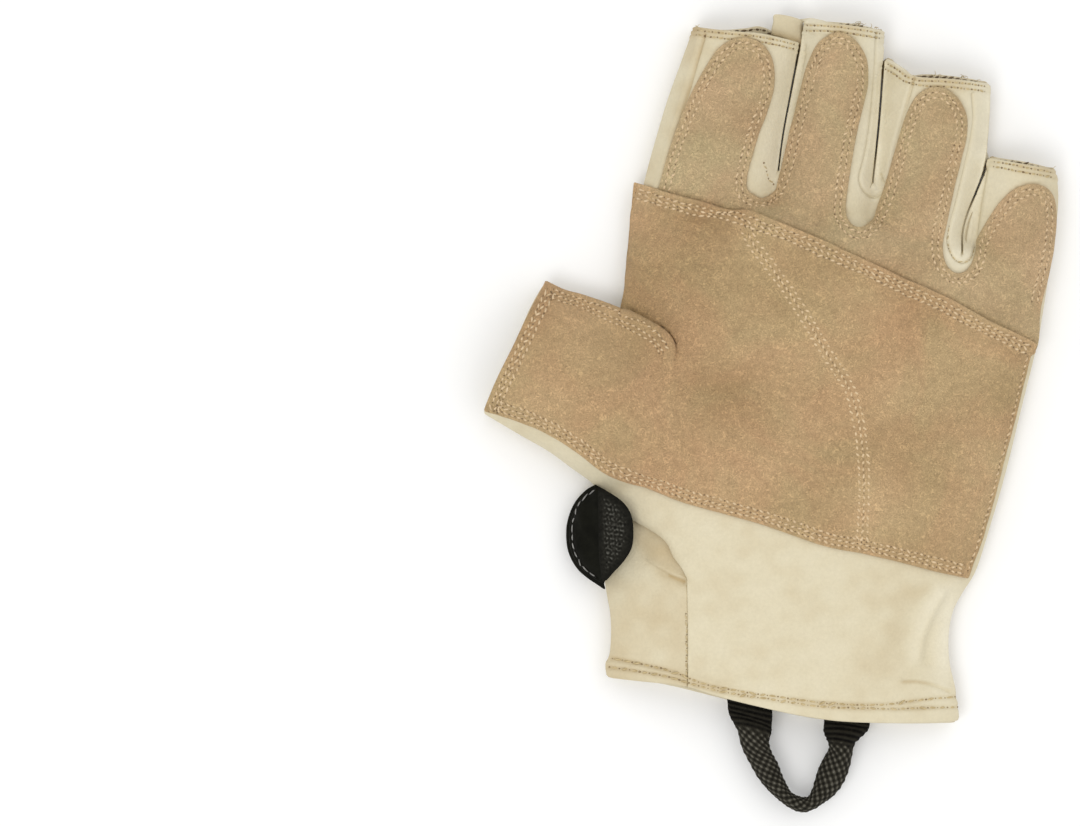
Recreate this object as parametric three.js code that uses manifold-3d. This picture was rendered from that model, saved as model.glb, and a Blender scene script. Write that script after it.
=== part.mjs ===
// Half-finger climbing glove for the left hand, lying on its back with the palm up.
// X runs across the palm, Y runs from the wrist to the fingers, Z is up out of the palm, in millimetres.
import * as THREE from "three";
import { mergeVertices } from "three/addons/utils/BufferGeometryUtils.js";
import Module from "manifold-3d";

const wasm = await Module();
wasm.setup();

// Driving sizes of the leather body
const palmWidth = 110;
const palmLength = 135;
const palmHeight = 21;
const seamHeight = 6;
const leather = 1.3;
const suede = 1.4;
const patchSuede = 2.0;
const gap = 0.3;

// Fingers and thumb: length from crotch to hem, and the flat width of the tube
const fingerSizes = {
  index: { length: 39.5, width: 32.5 },
  middle: { length: 41.5, width: 27.5 },
  ring: { length: 39.5, width: 28 },
  little: { length: 25.5, width: 23 },
};
const thumbLength = 31;
const thumbWidth = 40;

// Turned edges
const hemDepth = 6.5;
const hemTurn = 1.1;
const cuffHemDepth = 7.5;

// Gussets between the fingers
const gussetHeight = 6;
const gussetReach = 4.5;
const gussetFoot = 5;

// Closure tab at the thumb side of the wrist
const tabLength = 27;
const tabReach = 12;
const ribbedReach = 10;
const tabOverhang = 3;
const tabClearance = 1.2;
const tabBacking = 1;
const tabLeather = 1.4;
const tabRibbed = 1.6;
const tabMargin = 1;
const strapThickness = 1.4;
const strapWidth = 19;

// Webbing loop at the cuff
const loopWidth = 11.5;
const loopThickness = 1.5;
const loopReach = 24.3;
const loopSpan = 26;
const loopTuck = 9;
const loopClearance = 1;

// Fineness of the tubes
const palmSides = 32;
const fingerSides = 20;
const thumbSides = 22;
const crownPower = 1.25;
const floorShare = 1.7;
const beyond = 30;

// Sections of the palm tube from the cuff to the knuckles. left and right are the two edges, as shares of
// palmWidth and palmLength, crown is the height as a share of palmHeight, bow bends the section forward.
const palmRows = [
  { left: [-0.43, 0.044], right: [0.436, -0.044], crown: 0.68, bow: -0.035 },
  { left: [-0.42, 0.11], right: [0.42, 0.04], crown: 0.72, bow: -0.03 },
  { left: [-0.425, 0.19], right: [0.412, 0.13], crown: 0.8, bow: -0.02 },
  { left: [-0.437, 0.27], right: [0.45, 0.22], crown: 0.88, bow: -0.015 },
  { left: [-0.443, 0.35], right: [0.492, 0.31], crown: 0.95, bow: -0.01 },
  { left: [-0.44, 0.45], right: [0.532, 0.41], crown: 1.0, bow: 0 },
  { left: [-0.425, 0.57], right: [0.575, 0.53], crown: 1.02, bow: 0.01 },
  { left: [-0.405, 0.68], right: [0.608, 0.65], crown: 1.0, bow: 0.02 },
  { left: [-0.385, 0.8], right: [0.643, 0.76], crown: 0.97, bow: 0.035 },
  { left: [-0.367, 0.9], right: [0.66, 0.8], crown: 0.91, bow: 0.04 },
  { left: [-0.357, 0.955], right: [0.666, 0.84], crown: 0.8, bow: 0.035 },
  { left: [-0.35, 0.985], right: [0.66, 0.86], crown: 0.6, bow: 0.03 },
];

// Each finger: the middle of its foot in shares of the palm, its lean clockwise in degrees, and its sections.
// leftAlong and rightAlong are shares of the finger's length, left and right are shares of its width.
const fingers = {
  index: {
    foot: [-0.17, 1.038],
    lean: 14,
    rows: [
      { leftAlong: -0.5, left: -0.5, rightAlong: -0.5, right: 0.56, crown: 0.5 },
      { leftAlong: 0, left: -0.55, rightAlong: 0, right: 0.57, crown: 0.8 },
      { leftAlong: 0.35, left: -0.53, rightAlong: 0.3, right: 0.51, crown: 0.79 },
      { leftAlong: 0.72, left: -0.49, rightAlong: 0.75, right: 0.47, crown: 0.76 },
      { leftAlong: 0.97, left: -0.46, rightAlong: 1.03, right: 0.44, crown: 0.74 },
    ],
  },
  middle: {
    foot: [0.108, 1.038],
    lean: 2,
    rows: [
      { leftAlong: -0.5, left: -0.55, rightAlong: -0.6, right: 0.55, crown: 0.5 },
      { leftAlong: -0.08, left: -0.48, rightAlong: -0.15, right: 0.5, crown: 0.86 },
      { leftAlong: 0.3, left: -0.4, rightAlong: 0.3, right: 0.49, crown: 0.83 },
      { leftAlong: 0.84, left: -0.25, rightAlong: 0.76, right: 0.51, crown: 0.8 },
      { leftAlong: 0.93, left: -0.25, rightAlong: 0.85, right: 0.52, crown: 0.79 },
      { leftAlong: 1.05, left: -0.46, rightAlong: 0.95, right: 0.54, crown: 0.78 },
    ],
  },
  ring: {
    foot: [0.336, 0.96],
    lean: 7.7,
    rows: [
      { leftAlong: -0.4, left: -0.46, rightAlong: -0.55, right: 0.52, crown: 0.5 },
      { leftAlong: 0.2, left: -0.45, rightAlong: -0.12, right: 0.48, crown: 0.84 },
      { leftAlong: 0.5, left: -0.49, rightAlong: 0.42, right: 0.54, crown: 0.8 },
      { leftAlong: 0.8, left: -0.5, rightAlong: 0.72, right: 0.52, crown: 0.76 },
      { leftAlong: 1.03, left: -0.49, rightAlong: 0.97, right: 0.49, crown: 0.74 },
    ],
  },
  little: {
    foot: [0.552, 0.886],
    lean: 9.3,
    rows: [
      { leftAlong: -0.7, left: -0.5, rightAlong: -0.9, right: 0.6, crown: 0.5 },
      { leftAlong: 0.1, left: -0.47, rightAlong: -0.1, right: 0.54, crown: 0.74 },
      { leftAlong: 0.5, left: -0.47, rightAlong: 0.4, right: 0.49, crown: 0.72 },
      { leftAlong: 0.98, left: -0.42, rightAlong: 0.98, right: 0.41, crown: 0.7 },
    ],
  },
};

// The thumb tube points out to the side. Its left edge is the one nearer the wrist.
const thumb = {
  foot: [-0.405, 0.594],
  lean: -63,
  rows: [
    { leftAlong: -1.0, left: -0.3, rightAlong: -1.15, right: 0.3, crown: 0.62 },
    { leftAlong: -0.7, left: -0.44, rightAlong: -0.8, right: 0.37, crown: 0.92 },
    { leftAlong: -0.36, left: -0.54, rightAlong: -0.45, right: 0.39, crown: 1.04 },
    { leftAlong: 0.05, left: -0.56, rightAlong: -0.13, right: 0.41, crown: 1.04 },
    { leftAlong: 0.4, left: -0.53, rightAlong: 0.25, right: 0.43, crown: 0.98 },
    { leftAlong: 0.72, left: -0.49, rightAlong: 0.62, right: 0.45, crown: 0.92 },
    { leftAlong: 1.02, left: -0.46, rightAlong: 0.98, right: 0.48, crown: 0.88 },
  ],
};

// Soft dents and swellings of the palm side: place and reach in shares of the palm, rise as a share of palmHeight.
const relief = [
  { x: 0.37, y: 0.12, reachX: 0.06, reachY: 0.05, rise: -0.09 },
  { x: 0.3, y: 0.2, reachX: 0.05, reachY: 0.09, rise: 0.05 },
  { x: -0.31, y: 0.31, reachX: 0.07, reachY: 0.035, rise: -0.08 },
  { x: 0.0, y: 0.62, reachX: 0.13, reachY: 0.1, rise: -0.05 },
  { x: 0.36, y: 0.55, reachX: 0.12, reachY: 0.16, rise: 0.04 },
];

// Plan outlines, in shares of palmWidth and palmLength
const patchTop = [
  [-0.36, 1.026],
  [-0.226, 0.994],
  [-0.098, 0.962],
  [0.051, 0.914],
  [0.194, 0.864],
  [0.385, 0.8],
  [0.51, 0.748],
  [0.62, 0.708],
];
const patchBottom = [
  [-0.73, 0.576],
  [-0.604, 0.54],
  [-0.5, 0.495],
  [-0.42, 0.452],
  [-0.33, 0.424],
  [-0.233, 0.39],
  [-0.044, 0.346],
  [0.098, 0.306],
  [0.29, 0.272],
  [0.462, 0.24],
];
const patchRight = [
  [0.49, 0.318],
  [0.525, 0.404],
  [0.573, 0.554],
];
const patchLeft = [
  [-0.6, 0.9],
  [-0.44, 0.82],
  [-0.425, 0.86],
  [-0.4, 0.96],
  [-0.39, 1.034],
];
const thumbSeam = [
  [-0.103, 0.962],
  [-0.052, 0.876],
  [0.018, 0.774],
  [0.088, 0.681],
  [0.152, 0.6],
  [0.184, 0.53],
  [0.194, 0.452],
  [0.192, 0.374],
  [0.189, 0.288],
];

// Rounded suede lobes on the fingers: the middle of the tip arc, its radius as a share of palmWidth, and the
// foot of each side. valley is the lowest point of the bare leather beyond the lobe's right side.
const lobes = [
  { tip: [-0.098, 1.262], radius: 0.077, left: [-0.297, 1.035], right: [-0.09, 1.04], valley: [-0.048, 0.997] },
  { tip: [0.137, 1.262], radius: 0.066, left: [-0.007, 1.04], right: [0.152, 1.015], valley: [0.184, 0.936] },
  { tip: [0.376, 1.152], radius: 0.068, left: [0.25, 1.02], right: [0.396, 0.935], valley: [0.427, 0.842] },
  { tip: [0.604, 0.972], radius: 0.06, left: [0.49, 0.93], right: [0.7, 0.93] },
];

// The wrist panel on the thumb side, bounded by the thumb crease and one straight seam.
const wristSeam = [
  [-0.236, -0.02],
  [-0.233, 0.278],
  [-0.268, 0.284],
  [-0.307, 0.324],
  [-0.368, 0.36],
  [-0.46, 0.418],
];
const wristLine = [...wristSeam, [-1, 0.418], [-1, -0.1]];

// The thumb's own leather, bounded by its foot
const thumbLine = [
  [-1, 0.82],
  [-0.44, 0.82],
  [-0.375, 0.77],
  [-0.335, 0.69],
  [-0.355, 0.54],
  [-0.368, 0.366],
  [-0.46, 0.418],
  [-1, 0.418],
];

// The lobes' sides turn in by this angle, in radians, and the outline's last corner lies beyond the little finger
const lobeTurn = 0.1;
const lobeCorner = [0.7, 0.7];

// The slits between neighbouring fingers, from the crotch to past the hems.
const slits = {
  index_middle: { crotch: [-0.008, 1.05], end: [0.049, 1.36] },
  middle_ring: { crotch: [0.224, 1.03], end: [0.256, 1.36] },
  ring_little: { crotch: [0.44, 0.9], end: [0.52, 1.15] },
};

// Closure tab: its place between two sections of the palm, its turn up the side of the wrist in degrees, the
// curves of its lens outlines, and the ends of its strap as shares of the section's half width
const tabPlace = 0.72;
const tabTurn = 22;
const lensPull = 1.33;
const lensFullness = 0.64;
const ribbedOverlap = 3.6;
const strapEnds = { near: 0.9, far: 1.2 };

// Webbing loop: its place on the cuff as a share of the half width, and how far down it has sunk to what it lies on
const loopPlace = 0.09;
const loopLanding = 0.7;
const loopSteps = 40;

const up = new THREE.Vector3(0, 0, 1);
const plan = ([x, y]) => new THREE.Vector2(x * palmWidth, y * palmLength);

// Rise of the palm side at a point of the plan
function reliefAt(x, y) {
  return relief.reduce((sum, form) => {
    const across = (x - form.x * palmWidth) / (form.reachX * palmWidth);
    const along = (y - form.y * palmLength) / (form.reachY * palmLength);
    return sum + form.rise * palmHeight * Math.exp(-across * across - along * along);
  }, 0);
}

// A section of a tube: its two edges in the plan, its crown height and how far its middle bows forward
function section(left, right, crown, bow) {
  return { left, right, crown, bow };
}

const palmSections = palmRows.map((row) =>
  section(plan(row.left), plan(row.right), row.crown * palmHeight, row.bow * palmLength),
);

// Sections of a finger or thumb, from its table of shares
function fingerSections(finger, length, width) {
  const angle = THREE.MathUtils.degToRad(finger.lean);
  const along = new THREE.Vector2(Math.sin(angle), Math.cos(angle));
  const across = new THREE.Vector2(along.y, -along.x);
  const place = (alongShare, acrossShare) =>
    plan(finger.foot)
      .addScaledVector(along, alongShare * length)
      .addScaledVector(across, acrossShare * width);
  return finger.rows.map((row) =>
    section(place(row.leftAlong, row.left), place(row.rightAlong, row.right), row.crown * palmHeight, 0),
  );
}

// A section between two others
function between(a, b, share) {
  return section(
    a.left.clone().lerp(b.left, share),
    a.right.clone().lerp(b.right, share),
    THREE.MathUtils.lerp(a.crown, b.crown, share),
    THREE.MathUtils.lerp(a.bow, b.bow, share),
  );
}

const middleOf = (s) => s.left.clone().add(s.right).multiplyScalar(0.5);

// The unit vector that a section faces, from the wrist towards the tip
function facing(s) {
  const across = s.right.clone().sub(s.left).normalize();
  return new THREE.Vector2(-across.y, across.x);
}

// The same section moved forward by a distance
function moved(s, distance) {
  const step = facing(s).multiplyScalar(distance);
  return section(s.left.clone().add(step), s.right.clone().add(step), s.crown, s.bow);
}

// Cuts the last stretch off a list of sections, so that the tube ends that distance before its old end
function shortened(sections, distance) {
  const kept = [...sections];
  let rest = distance;
  while (kept.length > 1) {
    const last = kept.pop();
    const before = kept[kept.length - 1];
    const length = middleOf(last).distanceTo(middleOf(before));
    if (length > rest) return [...kept, between(last, before, rest / length)];
    rest -= length;
  }
  return kept;
}

// The last stretch of a list of sections
function endStretch(sections, distance) {
  const kept = shortened(sections, distance);
  return [kept[kept.length - 1], ...sections.slice(kept.length - 1).filter((s, i) => i > 0 || kept.length > 1)];
}

// A list of sections read from the other end, with each section facing the other way
function reversed(sections) {
  return [...sections].reverse().map((s) => section(s.right, s.left, s.crown, -s.bow));
}

// A point on a section. angle runs from the right edge over the crown to the left edge and back underneath.
function sectionPoint(s, angle, grow) {
  const across = s.right.clone().sub(s.left);
  const half = across.length() / 2;
  across.normalize();
  const side = Math.cos(angle);
  const lift = Math.sin(angle);
  const spot = middleOf(s)
    .addScaledVector(across, side * (half + grow))
    .addScaledVector(facing(s), s.bow * (1 - side * side));
  const crown = s.crown - seamHeight + grow;
  const floor = seamHeight + Math.min(0, grow);
  const height =
    lift > 0
      ? seamHeight + crown * Math.pow(lift, crownPower) + lift * reliefAt(spot.x, spot.y)
      : seamHeight - floor * Math.sin((Math.min(1, -lift * floorShare) * Math.PI) / 2);
  return new THREE.Vector3(spot.x, spot.y, height);
}

// Turns a closed geometry into a solid that can be joined and cut
function solid(geometry) {
  const bare = geometry.clone();
  bare.deleteAttribute("normal");
  bare.deleteAttribute("uv");
  const merged = mergeVertices(bare, 1e-4);
  return new wasm.Manifold(
    new wasm.Mesh({
      numProp: 3,
      vertProperties: merged.attributes.position.array,
      triVerts: new Uint32Array(merged.index.array),
    }),
  );
}

// A closed tube through its sections, grown outwards by a distance. The first section is the tube's closed end,
// which grows too, and the last one is its mouth.
function tube(rows, sides, grow, footGrow = grow) {
  const sections = [moved(rows[0], -footGrow), ...rows.slice(1)];
  const steps = sections.length - 1;
  const geometry = new THREE.CylinderGeometry(1, 1, 1, sides, steps);
  const places = geometry.attributes.position;
  for (let i = 0; i < places.count; i += 1) {
    const row = Math.round((places.getY(i) + 0.5) * steps);
    const x = places.getX(i);
    const z = places.getZ(i);
    const s = sections[row];
    const core = middleOf(s).addScaledVector(facing(s), s.bow);
    const centre = new THREE.Vector3(core.x, core.y, seamHeight);
    const rim = sectionPoint(s, Math.atan2(z, x), grow);
    const point = centre.lerp(rim, Math.hypot(x, z));
    places.setXYZ(i, point.x, point.y, point.z);
  }
  return solid(geometry);
}

// The hollow of a tube, run out past its open end
function hollow(sections, sides, wall) {
  return tube([...sections, moved(sections[sections.length - 1], beyond)], sides, -wall);
}

// An upright block over a plan outline
function block(outline, low, high) {
  const geometry = new THREE.ExtrudeGeometry(outline, {
    depth: high - low,
    bevelEnabled: false,
    curveSegments: 5,
  });
  return solid(geometry.translate(0, 0, low));
}

const join = (solids) => solids.reduce((a, b) => a.add(b));
const top = palmHeight * 2;

// A strip of the plan on both sides of a line from one point to another
function strip(from, to, reach, low, high) {
  const along = to.clone().sub(from).normalize();
  const across = new THREE.Vector2(along.y, -along.x).multiplyScalar(reach);
  const corners = [
    from.clone().sub(across),
    from.clone().add(across),
    to.clone().add(across),
    to.clone().sub(across),
  ];
  return block(new THREE.Shape(corners), low, high);
}

// The plan far round the glove, and its halves above and below the side seams
const farRound = [
  [-2, -1],
  [2, -1],
  [2, 2],
  [-2, 2],
];
const everywhere = new THREE.Shape(farRound.map(plan));
const aboveSeam = block(everywhere, seamHeight + gap / 2, top);
const belowSeam = block(everywhere, -gap, seamHeight - gap / 2);

// The tubes of the hand
const fingerTubes = Object.fromEntries(
  Object.entries(fingers).map(([name, finger]) => {
    const size = fingerSizes[name];
    return [name, fingerSections(finger, size.length, size.width)];
  }),
);
const thumbTube = fingerSections(thumb, thumbLength, thumbWidth);
const cuffward = reversed(palmSections);
const palmBody = shortened(cuffward, cuffHemDepth + gap);

// The whole hand as one solid, grown by a distance, with the fingers cut back by the depth of their hems
function hand(grow, fingerCut, thumbCut) {
  return join([
    tube(palmBody, palmSides, grow),
    tube(shortened(thumbTube, thumbCut), thumbSides, grow),
    ...Object.values(fingerTubes).map((sections) => tube(shortened(sections, fingerCut), fingerSides, grow)),
  ]);
}

// The space inside the hand, open at the cuff, at the thumb and at each finger
function handSpace(wall) {
  return join([
    hollow(cuffward, palmSides, wall),
    hollow(thumbTube, thumbSides, wall),
    ...Object.values(fingerTubes).map((sections) => hollow(sections, fingerSides, wall)),
  ]);
}

// The leather walls. On the palm side the thumb's leather runs on to its end, over the turned edge's place.
const space = handSpace(leather);
const fingerCut = hemDepth + gap;
const palmShell = hand(0, fingerCut, 0).subtract(space);
const backShell = hand(0, fingerCut, fingerCut).subtract(space);

// Gussets: the side walls between two fingers, round the crotch
function gussetZone(slit, spare) {
  const crotch = plan(slit.crotch);
  const end = plan(slit.end);
  const foot = crotch.clone().addScaledVector(end.clone().sub(crotch).normalize(), -gussetFoot - spare);
  const half = gussetHeight / 2 + spare;
  return strip(foot, end, gussetReach + spare, seamHeight - half, seamHeight + half);
}

const zones = join(Object.values(slits).map((slit) => gussetZone(slit, gap)));

// A block over a plan outline, moved sideways and along the palm
function zone(points, sideways, along) {
  const step = new THREE.Vector2(sideways, along);
  return block(new THREE.Shape(points.map((point) => plan(point).add(step))), -gap, top);
}

// Plan blocks of the thumb and of the wrist panel. What lies beside one is cut back by the gap.
const thumbZone = zone(thumbLine, 0, 0);
const thumbClear = join([thumbZone, zone(thumbLine, gap, 0), zone(thumbLine, gap, -gap), zone(thumbLine, gap, gap)]);
const wristZone = zone(wristLine, 0, 0).subtract(thumbClear);
const wristClear = zone(wristLine, gap, 0).add(thumbClear);

// The outline of the upper suede piece: rounded lobes on the fingers with valleys between them
function lobeOutline() {
  const shape = new THREE.Shape();
  lobes.forEach((lobe, i) => {
    const left = plan(lobe.left);
    const right = plan(lobe.right);
    const tip = plan(lobe.tip);
    const radius = lobe.radius * palmWidth;
    if (i === 0) shape.moveTo(left.x, left.y);
    shape.absarc(tip.x, tip.y, radius, Math.PI - lobeTurn, -lobeTurn, true);
    shape.lineTo(right.x, right.y);
    if (lobe.valley) {
      const valley = plan(lobe.valley);
      const next = plan(lobes[i + 1].left);
      shape.quadraticCurveTo(right.x, valley.y, valley.x, valley.y);
      shape.quadraticCurveTo(next.x, valley.y, next.x, next.y);
    }
  });
  const corner = plan(lobeCorner);
  shape.lineTo(corner.x, corner.y);
  [...patchTop]
    .reverse()
    .slice(1)
    .forEach((point) => {
      const spot = plan(point);
      shape.lineTo(spot.x, spot.y + gap);
    });
  return block(shape, seamHeight + gap, top);
}

// A suede layer over the whole hand
function layer(thickness) {
  return hand(gap + thickness, 0, 0).subtract(hand(gap, -beyond, -beyond));
}

const fingerOverlay = layer(suede).intersect(lobeOutline());
const lowerLayer = layer(patchSuede);
const seamStep = new THREE.Vector2(gap, 0);
const seamEnd = patchBottom.findIndex(([x]) => x > thumbSeam[thumbSeam.length - 1][0]);
const thumbPatchOutline = new THREE.Shape(
  [
    ...patchBottom.slice(0, seamEnd),
    ...[...thumbSeam].reverse(),
    ...patchTop.slice(0, 2).reverse(),
    ...[...patchLeft].reverse(),
    [-0.8, 0.75],
  ].map(plan),
);
const palmPatchOutline = new THREE.Shape([
  ...thumbSeam.map((point) => plan(point).add(seamStep)),
  ...[...patchBottom.slice(seamEnd), ...patchRight, ...patchTop.slice(3).reverse()].map(plan),
]);
const patchLow = seamHeight + gap;
const thumbPatch = lowerLayer.intersect(block(thumbPatchOutline, patchLow, top));
const palmPatch = lowerLayer.intersect(block(palmPatchOutline, patchLow, top));

// A turned edge round the end of a tube: its second layer lies inside
function hem(sections, sides, depth) {
  const stretch = endStretch(sections, depth);
  const start = moved(stretch[0], -beyond);
  const inside = tube([start, ...stretch, moved(stretch[stretch.length - 1], beyond)], sides, -leather - hemTurn);
  return tube(stretch, sides, 0).subtract(inside);
}

// Closure tab: flat lens plates stacked on the plane that touches the side of the wrist
const tabSection = between(palmSections[3], palmSections[4], tabPlace);
const tabAngle = Math.PI - THREE.MathUtils.degToRad(tabTurn);
const tabStep = THREE.MathUtils.degToRad(3);

function tabFrame() {
  const origin = sectionPoint(tabSection, tabAngle, 0);
  const inward = sectionPoint(tabSection, tabAngle - tabStep, 0).sub(sectionPoint(tabSection, tabAngle + tabStep, 0));
  inward.normalize();
  const ahead = facing(tabSection);
  const along = new THREE.Vector3(ahead.x, ahead.y, 0);
  const normal = inward.clone().cross(along).normalize();
  const forward = normal.clone().cross(inward);
  return new THREE.Matrix4().makeBasis(inward, forward, normal).setPosition(origin);
}

// A lens between two tips, that bulges to the left and to the right by its own reach
function lens(length, leftReach, rightReach) {
  const shape = new THREE.Shape();
  const tip = length / 2;
  shape.moveTo(0, tip);
  const far = tip * lensFullness;
  shape.bezierCurveTo(-leftReach * lensPull, far, -leftReach * lensPull, -far, 0, -tip);
  shape.bezierCurveTo(rightReach * lensPull, -far, rightReach * lensPull, far, 0, tip);
  return shape;
}

function tabPlate(shape, low, thickness) {
  const geometry = new THREE.ExtrudeGeometry(shape, {
    depth: thickness,
    bevelEnabled: false,
    curveSegments: 10,
  });
  return solid(geometry.translate(-tabOverhang, 0, low).applyMatrix4(tabFrame()));
}

const tabLeatherLow = tabClearance + tabBacking + gap;
const tabRibbedLow = tabLeatherLow + tabLeather + gap;
const tabBackingPlate = tabPlate(lens(tabLength, tabReach, tabMargin), tabClearance, tabBacking);
const tabLeatherPlate = tabPlate(
  lens(tabLength - 2 * tabMargin, tabReach - tabMargin, tabMargin),
  tabLeatherLow,
  tabLeather,
);
const tabRibbedPlate = tabPlate(
  lens(tabLength - 3 * tabMargin, ribbedOverlap, ribbedReach),
  tabRibbedLow,
  tabRibbed,
);

// The strap that carries the tab, sewn under the raised side of the wrist
function closureStrap() {
  const wrap = tube(palmBody, palmSides, gap + strapThickness).subtract(tube(palmBody, palmSides, gap));
  const middle = middleOf(tabSection);
  const ahead = facing(tabSection).multiplyScalar(strapWidth / 2);
  const left = tabSection.left.clone().sub(middle);
  const far = middle.clone().addScaledVector(left, strapEnds.far);
  const near = middle.clone().addScaledVector(left, strapEnds.near);
  const corners = [far.clone().sub(ahead), near.clone().sub(ahead), near.clone().add(ahead), far.clone().add(ahead)];
  return wrap.intersect(block(new THREE.Shape(corners), strapThickness, seamHeight + gap));
}

// Webbing loop: across is a share of half the span, down a share of the reach past the hem and less than none
// inside it, turn in degrees
const loopRoute = [
  { across: -1, down: -1, turn: 0 },
  { across: -0.98, down: 0, turn: 0 },
  { across: -0.84, down: 0.31, turn: 48 },
  { across: -0.54, down: 0.62, turn: 64 },
  { across: -0.14, down: 0.88, turn: 76 },
  { across: 0.32, down: 1, turn: 82 },
  { across: 0.68, down: 0.82, turn: 76 },
  { across: 0.88, down: 0.54, turn: 64 },
  { across: 1.02, down: 0.26, turn: 48 },
  { across: 1.02, down: 0, turn: 0 },
  { across: 1, down: -1, turn: 0 },
];

function webbingLoop() {
  const cuff = palmSections[0];
  const across = cuff.right.clone().sub(cuff.left);
  const half = across.length() / 2;
  across.normalize();
  const out = facing(cuff).multiplyScalar(-1);
  const hemSpot = middleOf(cuff)
    .addScaledVector(across, loopPlace * half)
    .addScaledVector(facing(cuff), cuff.bow * (1 - loopPlace * loopPlace));
  const highest = cuff.crown - leather - hemTurn - gap - loopThickness - loopClearance;
  const lowest = loopWidth / 2 + gap;
  const points = loopRoute.map((stop) => {
    const reach = stop.down * (stop.down < 0 ? loopTuck : loopReach);
    const spot = hemSpot
      .clone()
      .addScaledVector(across, (stop.across * loopSpan) / 2)
      .addScaledVector(out, reach);
    const fall = Math.min(1, Math.max(0, stop.down) / loopLanding);
    return new THREE.Vector3(spot.x, spot.y, THREE.MathUtils.lerp(highest, lowest, fall));
  });
  const route = new THREE.CatmullRomCurve3(points, false, "centripetal");
  const turns = loopRoute.map((stop) => stop.turn);
  const geometry = new THREE.BoxGeometry(1, 1, 1, 1, loopSteps, 1);
  const places = geometry.attributes.position;
  for (let i = 0; i < places.count; i += 1) {
    const share = places.getY(i) + 0.5;
    const spot = route.getPoint(share);
    const ahead = route.getTangent(share);
    const stop = share * (turns.length - 1);
    const first = Math.min(Math.floor(stop), turns.length - 2);
    const turn = THREE.MathUtils.lerp(turns[first], turns[first + 1], stop - first);
    const level = ahead.clone().cross(up).normalize();
    const wide = level.clone().applyAxisAngle(ahead, THREE.MathUtils.degToRad(-turn));
    const thick = wide.clone().cross(ahead).normalize();
    spot.addScaledVector(wide, places.getX(i) * loopWidth);
    spot.addScaledVector(thick, places.getZ(i) * loopThickness);
    places.setXYZ(i, spot.x, spot.y, spot.z);
  }
  return solid(geometry);
}

// The largest body of a cut solid: a cut can leave slivers along a seam
function mainBody(made) {
  return made.decompose().reduce((a, b) => (b.volume() > a.volume() ? b : a));
}

const glove = new THREE.Group();
const materials = {
  cream_leather: { color: 0xe0d3af, roughness: 0.55 },
  suede: { color: 0xb79c75, roughness: 0.95 },
  black_leather: { color: 0x161412, roughness: 0.45 },
  black_webbing: { color: 0x302c2a, roughness: 0.85 },
};

function add(name, material, made) {
  const body = mainBody(made);
  const mesh = body.getMesh();
  const geometry = new THREE.BufferGeometry();
  geometry.setAttribute("position", new THREE.BufferAttribute(mesh.vertProperties, 3));
  geometry.setIndex(new THREE.BufferAttribute(mesh.triVerts, 1));
  geometry.computeVertexNormals();
  const node = new THREE.Mesh(geometry, new THREE.MeshStandardMaterial({ ...materials[material], metalness: 0 }));
  node.name = name;
  glove.add(node);
}

// Leather body
const palmSide = palmShell.intersect(aboveSeam).subtract(zones);
const backSide = backShell.intersect(belowSeam).subtract(zones);
add("palm_leather", "cream_leather", palmSide.subtract(wristClear));
add("wrist_side_panel", "cream_leather", palmSide.intersect(wristZone));
add("thumb_palm_leather", "cream_leather", palmSide.intersect(thumbZone));
add("back_leather", "cream_leather", backSide.subtract(thumbClear));
add("thumb_back_leather", "cream_leather", backSide.intersect(thumbZone));
Object.entries(slits).forEach(([name, slit]) => {
  add(`gusset_${name}`, "cream_leather", palmShell.intersect(gussetZone(slit, 0)));
});

// Turned edges
Object.entries(fingerTubes).forEach(([name, sections]) => {
  add(`${name}_hem`, "cream_leather", hem(sections, fingerSides, hemDepth));
});
add("thumb_hem", "cream_leather", hem(thumbTube, thumbSides, hemDepth).intersect(belowSeam));
add("cuff_hem", "cream_leather", hem(cuffward, palmSides, cuffHemDepth));

// Suede
add("suede_finger_overlay", "suede", fingerOverlay);
add("suede_thumb_patch", "suede", thumbPatch);
add("suede_palm_patch", "suede", palmPatch);

// Closure tab
add("closure_strap", "black_leather", closureStrap());
add("closure_tab_backing", "black_leather", tabBackingPlate);
add("closure_tab_leather", "black_leather", tabLeatherPlate);
add("closure_tab_ribbed", "black_webbing", tabRibbedPlate);

// Webbing loop
add("webbing_loop", "black_webbing", webbingLoop());

// The origin lies under the middle of the whole glove, at the height of what it rests on
const extent = new THREE.Box3().setFromObject(glove);
const centre = extent.getCenter(new THREE.Vector3());
glove.position.set(-centre.x, -centre.y, -extent.min.z);

export default glove;
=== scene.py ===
# Half-finger climbing glove for the left hand, lying palm up: sewn leather, suede, webbing and thread.
# The pieces are sheets over the plan of the glove. Plan lengths are in millimetres of the model's own frame.
import math
import warnings
import bpy
import numpy as np
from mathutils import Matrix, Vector
from mathutils.bvhtree import BVHTree
from mathutils.geometry import delaunay_2d_cdt


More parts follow.
